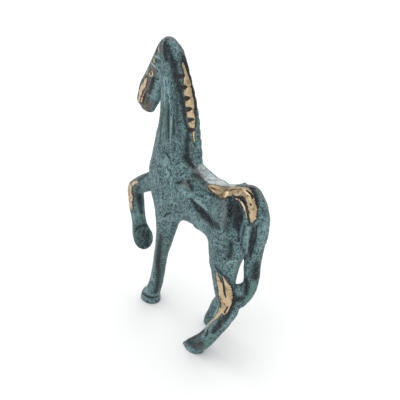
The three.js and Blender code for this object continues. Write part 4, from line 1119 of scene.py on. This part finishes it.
@dataclass
class Tail:
    """The tail, parted into strands, which falls onto the left hock."""

    fall: Sweep = Sweep((
        (-26, 0, 74.6, 2.4, 2.2),  # root
        (-30.8, 0, 75.2, 2.6, 2.8),
        (-33.9, 0, 73, 3.1, 3.2),
        (-35.7, 0, 69, 3.7, 3.8),  # fullest
        (-35.1, 0, 62, 3.7, 3.7),
        (-34, 0.3, 54, 3.4, 3.4),
        (-33.8, 0.6, 47, 3.1, 3.1),
        (-34, 1.2, 41, 2.8, 2.8),
        (-33.8, 2.8, 36.6, 2.6, 2.6),
        (-32.5, 5, 32.9, 2.4, 2.4),  # tip on the left hock
    ))
    tie: Sweep = Sweep((
        (-33.8, 2.2, 38.6, 2.6, 2.4), (-31.2, 4.8, 36.8, 2.4, 2.6), (-28.8, 7, 35.4, 2.6, 3),
    ))
    partings: tuple[Sweep, ...] = (
        Sweep.wire(
            (-34.3, 5.9, 67.4, 0.3), (-34.2, 6.9, 63.7, 0.6), (-34, 7.1, 59.9, 0.6),
            (-33.8, 7.1, 56.6, 0.3),
        ),
        Sweep.wire((-36.8, 4, 69, 0.6), (-36.4, 3.8, 61, 0.9), (-35, 3.7, 52, 0.8), (-34.6, 3.8, 45, 0.5)),
    )
    strand: Sweep = Sweep.wire(
        (-35.3, 4.6, 68.2, 0.3), (-35, 5.4, 63.4, 0.5), (-34.5, 5.8, 58.3, 0.5), (-34.1, 5.7, 54.6, 0.3),
    )
    marks: tuple[Mark, ...] = (
        Mark(Tone.PALE, (
            (-35.5, 5.1, 66.9, 0.6), (-35.1, 5.1, 60.7, 0.7), (-33.9, 4.4, 54.6, 0.6),
        ), strength=0.9),
        # painted shade in the groove between the thigh and the tail
        Mark(Tone.DARK, (
            (-34.3, 5.7, 67.2, 0.4), (-34.2, 6.6, 63.7, 0.45), (-34, 6.8, 59.9, 0.4),
            (-33.8, 6.9, 57.3, 0.3),
        )),
        Mark(Tone.DARK, (
            (-37.6, 3.2, 67.6, 0.45), (-37, 2.9, 62.2, 0.5), (-35.5, 2.9, 56.4, 0.5),
            (-34.9, 2.9, 53.1, 0.4),
        )),
        Mark(Tone.DARK, ((-36.7, 2, 50.5, 1.3), (-36.7, 1.7, 47.7, 1.6), (-36.7, 1.5, 44.6, 1.5)), ONCE),
        Mark(Tone.BROWN, ((-36.9, 2.2, 49.6, 0.6), (-36.9, 2, 46, 0.7)), ONCE, 0.45),
        Mark(Tone.GREEN, (
            (-36.6, 2.1, 42.4, 1.4), (-36.6, 2.5, 39.8, 1.5), (-36.4, 3.6, 37.3, 1.5),
            (-35.4, 4.9, 34.7, 1),
        ), ONCE),
        Mark(Tone.DARK, (
            (-34.2, 3.8, 43.5, 1), (-34.9, 4.4, 40.1, 1.1), (-35.3, 4.9, 37.8, 0.9),
        ), ONCE, 0.9),
        Mark(Tone.DARK, ((-31.3, 6.4, 40.9, 0.7), (-32.3, 4.5, 40.1, 0.7)), ONCE, 0.8),
        Mark(Tone.DARK, ((-32.4, 8.3, 35.6, 1), (-33.2, 6.8, 35.3, 1.1), (-34.6, 5.7, 36, 0.8)), ONCE),
        Mark(Tone.BROWN, ((-32, 8.3, 36.3, 0.5), (-32.3, 8.3, 35.8, 0.45)), ONCE),
        Mark(Tone.PALE, ((-39.3, 1.2, 67.3, 0.9), (-38.6, 0.9, 61.3, 1), (-38, 1.1, 56.8, 0.9)), ONCE, 0.6),
    )

    def model(self, clay: Clay) -> None:
        """Hang the tail from the croup and tie its end to the hock."""
        clay.add(Melt.CRISP, self.fall, self.tie)

    def chase(self, clay: Clay, side: Side) -> None:
        """Part the strands of one side and raise the one between them."""
        clay.carve(Melt.SHARP, *self.partings, side=side)
        clay.add(Melt.HAIRLINE, self.strand, side=side)


def ripples(points: np.ndarray, wavelength: float, seed: int, count: int = 64) -> np.ndarray:
    """Draw a smooth random value at each point.

    Random numbers from -1 to 1 sit on a lattice one wavelength apart, and the eight round a
    point are blended by 3 s squared minus 2 s cubed of its share of the way between them.

    Args:
        points: places in mm.
        wavelength: the lattice's spacing in mm.
        seed: what the random draw starts from.
        count: how many numbers lie along each axis before the lattice repeats.

    Returns:
        One value a point, from -1 to 1.
    """
    lattice = np.random.default_rng(seed).uniform(-1, 1, (count, count, count))
    spots = points / wavelength
    base = np.floor(spots).astype(int)
    share = spots - base
    return blended(lattice, base, share * share * (3 - 2 * share))


def outward(points: np.ndarray, squares: np.ndarray) -> np.ndarray:
    """Find the way the surface looks at each point.

    A square's direction is the cross product of its diagonals, and a point's is the sum of
    its squares' directions, brought to length one.

    Args:
        points: the mesh's points.
        squares: its squares, as rows of point numbers.

    Returns:
        One unit vector a point.
    """
    a, b, c, d = (points[squares[:, corner]] for corner in range(4))
    facing = np.cross(c - a, d - b)
    total = np.stack([
        np.bincount(squares.ravel(), np.repeat(facing[:, axis], 4), len(points)) for axis in range(3)
    ], axis=1)
    return total / np.linalg.norm(total, axis=1, keepdims=True)


@dataclass(frozen=True)
class Noise:
    """A fractal noise, about 0.5 on average, with a number of lumps a metre."""

    per_metre: float
    detail: float
    roughness: float


@dataclass(frozen=True)
class Layer:
    """How a layer shows: not at all where its value is at start, and by its cover at full."""

    start: float
    full: float
    cover: float = 1.0


@dataclass(frozen=True)
class Ground:
    """The values that the finish's layers are cut from, at each point of the surface."""

    cloud: Feed
    patch: Feed
    mottle: Feed
    grain: Feed
    fleck: Feed
    streak: Feed
    sheen: Feed
    crevice: Feed
    grit: Feed


@dataclass(frozen=True)
class BronzePatina:
    """Cast bronze under a mottled green patina, rubbed through to gold metal on the ridges."""

    teal: Colour = (0.108, 0.186, 0.190)
    deep_teal: Colour = (0.013, 0.022, 0.028)
    pale_teal: Colour = (0.235, 0.370, 0.378)
    # dark patina, also the colour of the painted shade in hollows, creases and shade marks
    dark: Colour = (0.011, 0.010, 0.013)
    green: Colour = (0.105, 0.215, 0.185)
    brown: Colour = (0.150, 0.100, 0.080)
    mauve: Colour = (0.150, 0.132, 0.140)
    gold: Colour = (0.560, 0.430, 0.270)
    olive_gold: Colour = (0.260, 0.190, 0.095)
    tarnished_gold: Colour = (0.110, 0.066, 0.036)
    rust: Colour = (0.026, 0.014, 0.011)
    # the painted reflection's pale and dim greys
    smooth: Colour = (0.600, 0.640, 0.640)
    dim_sheen_colour: Colour = (0.290, 0.320, 0.325)

    patina_roughness: float = 0.50
    smooth_roughness: float = 0.34
    gold_roughness: float = 0.30
    patina_gloss: float = 0.13
    refraction: float = 1.5
    relief_strength: float = 0.6
    relief_height: float = 0.00015

    clouds: Noise = Noise(150.0, 4.0, 0.60)
    patches: Noise = Noise(290.0, 3.0, 0.60)
    mottles: Noise = Noise(620.0, 8.0, 0.72)
    streaks: Noise = Noise(992.0, 3.0, 0.60)
    grains: Noise = Noise(1350.0, 2.0, 0.55)
    flecks: Noise = Noise(2500.0, 3.0, 0.60)
    streak_stretch: Point = (1.0, 1.0, 0.18)

    teal_layer: Layer = Layer(0.24, 0.62)
    cloud_layer: Layer = Layer(1.10, 1.44, 0.85)
    sheen_layer: Layer = Layer(0.50, 0.75)
    sheen_light: Layer = Layer(0.62, 0.86)
    bright_layer: Layer = Layer(1.03, 1.20, 0.85)
    pit_layer: Layer = Layer(1.00, 0.80, 0.85)
    crevice_layer: Layer = Layer(0.52, 0.64)
    hollow_layer: Layer = Layer(0.52, 0.70)
    speck_layer: Layer = Layer(1.10, 1.26, 0.5)
    cut_layer: Layer = Layer(0.30, 0.60)
    border_layer: Layer = Layer(0.14, 0.40, 0.8)
    gold_layer: Layer = Layer(0.43, 0.53)
    olive_layer: Layer = Layer(0.50, 0.64, 0.7)
    clean_layer: Layer = Layer(0.52, 0.66, 0.6)
    bare_layer: Layer = Layer(0.50, 0.68)
    seam_layer: Layer = Layer(0.20, 0.80, 0.92)
    # stains of the patina; where their marks say so, the dark, pale and mauve ones are painted shade and
    # painted reflections
    stains: tuple[tuple[Tone, Colour, Layer], ...] = (
        (Tone.PALE, pale_teal, Layer(0.25, 0.75, 0.80)),
        (Tone.GREEN, green, Layer(0.25, 0.75, 0.85)),
        (Tone.MAUVE, mauve, Layer(0.25, 0.75, 0.75)),
        (Tone.DARK, dark, Layer(0.25, 0.75, 0.90)),
        (Tone.BROWN, brown, Layer(0.25, 0.75, 0.80)),
    )

    def ground(self, bench: "NodeBench") -> Ground:
        """Build the noises and read the mesh's own values.

        Args:
            bench: the material's nodes.

        Returns:
            The values that the layers are cut from.
        """
        place = bench.add("ShaderNodeTexCoord", {}).outputs["Object"]
        stretch = {"Vector": place, "Scale": self.streak_stretch}
        stretched = bench.add("ShaderNodeMapping", stretch).outputs[0]
        mottle, grain = bench.noise(place, self.mottles), bench.noise(place, self.grains)
        # where the painted reflection lies
        sheen = bench.total(bench.attribute(Tone.SHEEN.value), (mottle, 0.3))
        return Ground(
            cloud=bench.noise(place, self.clouds),
            patch=bench.noise(place, self.patches),
            mottle=mottle,
            grain=grain,
            fleck=bench.noise(place, self.flecks),
            streak=bench.noise(stretched, self.streaks),
            sheen=bench.share(sheen, self.sheen_layer),
            # how deep in a crease a point lies; it keeps the gold off and darkens as painted shade
            crevice=bench.share(bench.attribute("crevice"), self.crevice_layer),
            grit=bench.centred(bench.total(bench.scaled(mottle, 2.2), (grain, 1.2)), 1.7),
        )

    def patina(self, bench: "NodeBench", ground: Ground) -> Feed:
        """Mix the patina: mottled, speckled, stained, painted reflections, painted shade in hollows.

        Args:
            bench: the material's nodes.
            ground: the values that the layers are cut from.

        Returns:
            The patina's colour.
        """
        light = bench.total(ground.cloud, (ground.mottle, 0.8), (ground.streak, 0.5))
        lit = bench.share(bench.total(ground.cloud, (ground.streak, 0.5)), self.sheen_light)
        speckle = bench.total(ground.grain, (ground.fleck, 1.0))
        pits = bench.total(bench.share(speckle, self.pit_layer), (ground.sheen, -0.5))
        hollow = bench.share(bench.attribute("hollow"), self.hollow_layer)
        recess = bench.total(ground.crevice, (hollow, 1.0))
        colour = bench.mix(bench.share(ground.mottle, self.teal_layer), self.deep_teal, self.teal)
        colour = bench.mix(bench.share(light, self.cloud_layer), colour, self.pale_teal)
        # painted reflection: pale to dim grey by noise, where the sheen marks lie
        smooth = bench.mix(lit, self.dim_sheen_colour, self.smooth)
        colour = bench.mix(bench.scaled(ground.sheen, 0.9), colour, smooth)
        colour = bench.mix(bench.share(speckle, self.bright_layer), colour, self.pale_teal)
        colour = bench.mix(pits, colour, self.deep_teal)
        # painted shade: darker in hollows and creases
        colour = bench.mix(bench.scaled(recess, 0.5), colour, self.dark)
        for tone, tint, layer in self.stains:
            level = bench.total(bench.attribute(tone.value), (ground.grit, 1.0))
            colour = bench.mix(bench.share(level, layer), colour, tint)
        return bench.mix(bench.share(speckle, self.speck_layer), colour, self.teal)

    def metal(self, bench: "NodeBench", ground: Ground) -> Feed:
        """Mix the bare metal: gold, olive in patches, tarnished in its pits and seams.

        Args:
            bench: the material's nodes.
            ground: the values that the layers are cut from.

        Returns:
            The metal's colour.
        """
        bare = bench.total(ground.mottle, (ground.streak, 0.4))
        seam = bench.total(bench.attribute(Tone.SEAM.value), (ground.grit, 0.4))
        colour = bench.mix(bench.share(ground.patch, self.olive_layer), self.gold, self.olive_gold)
        colour = bench.mix(bench.share(ground.grain, self.clean_layer), colour, self.gold)
        colour = bench.mix(bench.share(bare, self.bare_layer), self.tarnished_gold, colour)
        return bench.mix(bench.share(seam, self.seam_layer), colour, self.tarnished_gold)

    def material(self) -> bpy.types.Material:
        """Build the material's nodes, with the metal showing where the patina is rubbed through.

        Returns:
            The material, which reads object coordinates and the mesh's marks.
        """
        material = bpy.data.materials.new("bronze_patina")
        material.use_nodes = True
        bench = NodeBench(material)
        ground = self.ground(bench)
        cut = bench.total(bench.attribute(Tone.CUT.value), (ground.grit, 0.3))
        cut = bench.share(cut, self.cut_layer)
        kept = bench.total(cut, (ground.crevice, 0.3))
        wear = bench.total(bench.attribute(Tone.GOLD.value), (ground.grit, 0.3), (kept, -0.8))
        rubbed = bench.share(wear, self.gold_layer)
        colour = bench.mix(bench.share(wear, self.border_layer), self.patina(bench, ground), self.dark)
        colour = bench.mix(bench.scaled(cut, 0.85), colour, self.rust)
        colour = bench.mix(rubbed, colour, self.metal(bench, ground))
        rough = bench.blend(ground.sheen, self.patina_roughness, self.smooth_roughness)
        rough = bench.blend(rubbed, rough, self.gold_roughness)
        relief = bench.add("ShaderNodeBump", {
            "Strength": self.relief_strength, "Distance": self.relief_height,
            "Height": bench.total(ground.mottle, (ground.fleck, 0.6)),
        }).outputs[0]
        bench.finish_surface({
            "Base Color": colour, "Metallic": rubbed, "Roughness": rough, "Normal": relief,
            "IOR": self.refraction, "Specular IOR Level": self.patina_gloss,
        })
        return material


class NodeBench:
    """Puts nodes into one material and joins them up."""

    def __init__(self, material: bpy.types.Material) -> None:
        """Clear the material's nodes, but for its output.

        Args:
            material: a material with nodes.
        """
        self.tree = material.node_tree
        self.tree.nodes.clear()
        self.out = self.tree.nodes.new("ShaderNodeOutputMaterial")

    def feed(self, socket: bpy.types.NodeSocket, value: Feed) -> None:
        """Join a socket to another node's output, or set its own value.

        Args:
            socket: the socket.
            value: an output, a number or a tuple of three; a colour socket also gets alpha 1.
        """
        if isinstance(value, bpy.types.NodeSocket):
            self.tree.links.new(value, socket)
        elif isinstance(value, tuple) and len(socket.default_value) == 4:
            socket.default_value = (*value, 1.0)
        else:
            socket.default_value = value

    def add(self, kind: str, feeds: dict[str | int, Feed], **options: str) -> bpy.types.Node:
        """Add a node, set its options and feed its sockets.

        Args:
            kind: the node's type.
            feeds: what goes into each socket, by name or number.
            **options: the node's own settings.

        Returns:
            The node.
        """
        node = self.tree.nodes.new(kind)
        for name, option in options.items():
            setattr(node, name, option)
        for socket, value in feeds.items():
            self.feed(node.inputs[socket], value)
        return node

    def noise(self, place: Feed, noise: Noise) -> Feed:
        """Draw a noise at a place."""
        sizes = {"Scale": noise.per_metre, "Detail": noise.detail, "Roughness": noise.roughness}
        return self.add("ShaderNodeTexNoise", {"Vector": place, **sizes}).outputs[0]

    def attribute(self, name: str) -> Feed:
        """Read one of the mesh's own values."""
        return self.add("ShaderNodeAttribute", {}, attribute_name=name).outputs["Fac"]

    def share(self, value: Feed, layer: Layer) -> Feed:
        """Turn a value into how much of a layer shows, by a smooth step between its limits.

        Args:
            value: what the layer goes by.
            layer: the layer.

        Returns:
            A share from 0 to the layer's cover.
        """
        feeds = {"Value": value, "From Min": layer.start, "From Max": layer.full}
        step = self.add("ShaderNodeMapRange", feeds, interpolation_type="SMOOTHSTEP").outputs[0]
        return step if layer.cover == 1.0 else self.scaled(step, layer.cover)

    def total(self, first: Feed, *others: tuple[Feed, float]) -> Feed:
        """Add other values to a first one, each times its weight.

        Args:
            first: the first value.
            *others: the other values, each with its weight.

        Returns:
            The sum.
        """
        for value, weight in others:
            first = self._math("ADD", first, value if weight == 1.0 else self.scaled(value, weight))
        return first

    def scaled(self, value: Feed, factor: float) -> Feed:
        """Multiply a value."""
        return self._math("MULTIPLY", value, factor)

    def centred(self, value: Feed, middle: float) -> Feed:
        """Take a value's usual mean off it."""
        return self._math("SUBTRACT", value, middle)

    def _math(self, operation: str, one: Feed, two: Feed) -> Feed:
        """Join two values by one operation."""
        return self.add("ShaderNodeMath", {0: one, 1: two}, operation=operation).outputs[0]

    def mix(self, share: Feed, under: Feed, over: Feed) -> Feed:
        """Lay one colour over another by a share."""
        return self.add("ShaderNodeMix", {0: share, 6: under, 7: over}, data_type="RGBA").outputs[2]

    def blend(self, share: Feed, under: Feed, over: Feed) -> Feed:
        """Blend one number into another by a share."""
        return self.add("ShaderNodeMix", {0: share, 2: under, 3: over}).outputs[0]

    def finish_surface(self, feeds: dict[str, Feed]) -> None:
        """Add the surface's shader, feed it and join it to the output."""
        shader = self.add("ShaderNodeBsdfPrincipled", feeds)
        self.tree.links.new(shader.outputs[0], self.out.inputs["Surface"])


@dataclass
class Casting:
    """The whole statuette, modelled in one block of clay and cast as one piece."""

    grid_step: float = 0.45
    swell: tuple[tuple[float, float], ...] = ((6.0, 0.10), (2.6, 0.06), (1.5, 0.04))  # wavelength, height
    # sizes of the cubes that measure hollows and creases for the painted shade
    hollow_reach: float = 2.3
    crevice_reach: float = 0.9
    level_foot: float = 2.0  # up to this height the ripples grow
    seed: int = 7
    turn_softness: float = 0.25
    patina: BronzePatina = BronzePatina()

    LEAST_TURNED: ClassVar[dict[Side, float]] = {Side.LEFT: -0.6, Side.RIGHT: 0.45}  # toward a mark's side

    def modelled(self) -> tuple[Clay, list[Mark]]:
        """Model every sub-assembly in order.

        Returns:
            The clay, and the marks of all the parts.
        """
        clay = Clay(self.grid_step)
        trunk, head, mane, forelegs = Trunk(), NeckAndHead(), Mane(), Forelegs()
        quarters, back, tail = Hindquarters(), Back(), Tail()
        for part in (trunk, head, mane, forelegs, quarters, back, tail):
            part.model(clay)
            log.info("modelled the %s", type(part).__name__)
        for side in Side:
            quarters.hollow_out(clay, side)
            back.hollow_out(clay, side)
            for part in (mane, head, tail, quarters, back):
                part.chase(clay, side)
        forelegs.cut_sole(clay)
        clay.level_off()
        marked = (head, mane, forelegs, quarters, back, tail)
        return clay, [mark for part in marked for mark in part.marks] + list(mane.notch_marks())

    def roughened(self, points: np.ndarray, facing: np.ndarray) -> np.ndarray:
        """Give the surface the slight unevenness of a casting.

        Each point moves along the way it faces by the sum of three ripples, less near the
        ground so that the hooves stay flat.

        Args:
            points: places in mm.
            facing: the way the surface looks at each.

        Returns:
            The moved places.
        """
        move = sum(
            height * ripples(points, wavelength, self.seed + index)
            for index, (wavelength, height) in enumerate(self.swell)
        )
        return points + facing * (move * np.clip(points[:, 2] / self.level_foot, 0, 1))[:, None]

    def levels(self, marks: list[Mark], points: np.ndarray, facing: np.ndarray) -> dict[str, np.ndarray]:
        """Work out how strongly each tone's marks hold at each point, on the side they are on.

        Args:
            marks: all the marks.
            points: places in mm.
            facing: the way the surface looks at each.

        Returns:
            One level a point, from 0 to 1, by the name of the tone's attribute.
        """
        levels = {tone.value: np.zeros(len(points)) for tone in Tone}
        for mark in marks:
            for side in mark.sides:
                name = mark.tone.value
                turned = facing[:, 1] * side.value
                seen = np.clip((turned - self.LEAST_TURNED[side]) / self.turn_softness, 0, 1)
                levels[name] = np.maximum(levels[name], mark.level(points, side) * seen)
        return levels

    def cast(self) -> tuple[bpy.types.Object, np.ndarray]:
        """Turn the clay into the finished piece.

        Returns:
            The piece, and the shift in metres from the modelling frame to the CAD's.
        """
        clay, marks = self.modelled()
        points, squares = clay.skin()
        low, high = (np.array(corner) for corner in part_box(CAD_NODE))
        middle = (points.min(axis=0) + points.max(axis=0)) / 2 * MM
        shift = (low + high) / 2 - middle
        shift[2] = low[2]
        facing = outward(points, squares)
        mesh = bpy.data.meshes.new("horse_casting")
        mesh.from_pydata(self.roughened(points, facing) * MM + shift, [], squares.tolist())
        mesh.polygons.foreach_set("use_smooth", np.ones(len(squares), bool))
        levels = self.levels(marks, points, facing)
        # how enclosed each point is, read by the finish as painted shade in hollows and creases
        levels["hollow"] = clay.fullness(points, self.hollow_reach)
        levels["crevice"] = clay.fullness(points, self.crevice_reach)
        for name, values in levels.items():
            attribute = mesh.attributes.new(name, "FLOAT", "POINT")
            attribute.data.foreach_set("value", values.astype(np.float32))
        mesh.update()
        piece = bpy.data.objects.new("horse_casting", mesh)
        bpy.context.scene.collection.objects.link(piece)
        mesh.materials.append(self.patina.material())
        log.info("cast %s with %d squares", piece.name, len(squares))
        return piece, shift


@dataclass
class Studio:
    """A plain pale floor, soft light from all round and above, and the camera."""

    floor_half: float = 3.0
    floor_colour: Colour = (0.93, 0.93, 0.93)
    floor_roughness: float = 0.9
    azimuth: float = 228.0
    elevation: float = 31.0
    distance: float = 340.0
    focal_pixels: float = 877.2
    frame_pixels: float = 400.0
    sensor_width: float = 36.0
    aim: Point = (0.0, -6.9, 55.0)
    aim_pixel: tuple[float, float] = (205.0, 205.0)
    nearest_seen: float = 0.01
    sky_strength: float = 0.72
    lamps: tuple[tuple[str, Point, float, float], ...] = (  # name, place, side, power
        ("overhead_softbox", (0.10, -0.10, 1.10), 1.40, 8.0),
        ("left_softbox", (-0.25, 0.80, 0.55), 0.70, 1.6),
    )

    def lay_floor(self) -> None:
        """Lay the floor at the height of the hooves."""
        half = self.floor_half
        corners = [(-half, -half, 0), (half, -half, 0), (half, half, 0), (-half, half, 0)]
        mesh = bpy.data.meshes.new("floor")
        mesh.from_pydata(corners, [], [(0, 1, 2, 3)])
        floor = bpy.data.objects.new("floor", mesh)
        bpy.context.scene.collection.objects.link(floor)
        material = bpy.data.materials.new("pale_floor")
        material.use_nodes = True
        bench = NodeBench(material)
        bench.finish_surface({
            "Base Color": self.floor_colour, "Roughness": self.floor_roughness, "Specular IOR Level": 0.0,
        })
        mesh.materials.append(material)

    def light(self) -> None:
        """Light the sky evenly and hang the soft boxes."""
        scene = bpy.context.scene
        world = bpy.data.worlds.new("even_sky")
        world.use_nodes = True
        sky = world.node_tree.nodes["Background"]
        sky.inputs["Color"].default_value = (1.0, 1.0, 1.0, 1.0)
        sky.inputs["Strength"].default_value = self.sky_strength
        scene.world = world
        scene.view_settings.view_transform = "Standard"
        for name, place, size, power in self.lamps:
            lamp = bpy.data.lights.new(name, "AREA")
            lamp.size = size
            lamp.energy = power
            holder = bpy.data.objects.new(name, lamp)
            holder.location = place
            toward = Vector((0.0, 0.0, self.aim[2] * MM)) - Vector(place)
            holder.rotation_euler = toward.to_track_quat("-Z", "Y").to_euler()
            scene.collection.objects.link(holder)

    def set_camera(self, shift: np.ndarray) -> None:
        """Stand the camera where the aim point falls on its pixel.

        Args:
            shift: from the modelling frame to the CAD's, in metres.
        """
        turn, tilt = math.radians(self.azimuth), math.radians(self.elevation)
        back = Vector((math.sin(turn) * math.cos(tilt), -math.cos(turn) * math.cos(tilt), math.sin(tilt)))
        right = Vector((math.cos(turn), math.sin(turn), 0.0))
        up = back.cross(right)
        per_pixel = self.distance / self.focal_pixels
        middle = self.frame_pixels / 2
        aside = (self.aim_pixel[0] - middle) * per_pixel
        below = (self.aim_pixel[1] - middle) * per_pixel
        place = Vector(self.aim) + back * self.distance - right * aside + up * below
        camera = bpy.data.cameras.new("camera")
        camera.sensor_width = self.sensor_width
        camera.lens = self.focal_pixels / self.frame_pixels * self.sensor_width
        camera.clip_start = self.nearest_seen
        holder = bpy.data.objects.new("camera", camera)
        turned = Matrix((right, up, back)).transposed().to_4x4()
        holder.matrix_world = Matrix.Translation(place * MM + Vector(shift)) @ turned
        bpy.context.scene.collection.objects.link(holder)
        bpy.context.scene.camera = holder


def main() -> None:
    """Cast the statuette, place it on its CAD node and set up the studio."""
    logging.basicConfig(level=logging.INFO, format="%(name)s: %(message)s")
    piece, shift = Casting().cast()
    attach(piece, "root")
    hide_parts(CAD_NODE)
    studio = Studio()
    studio.lay_floor()
    studio.light()
    studio.set_camera(shift)


if __name__ == "__main__":
    main()
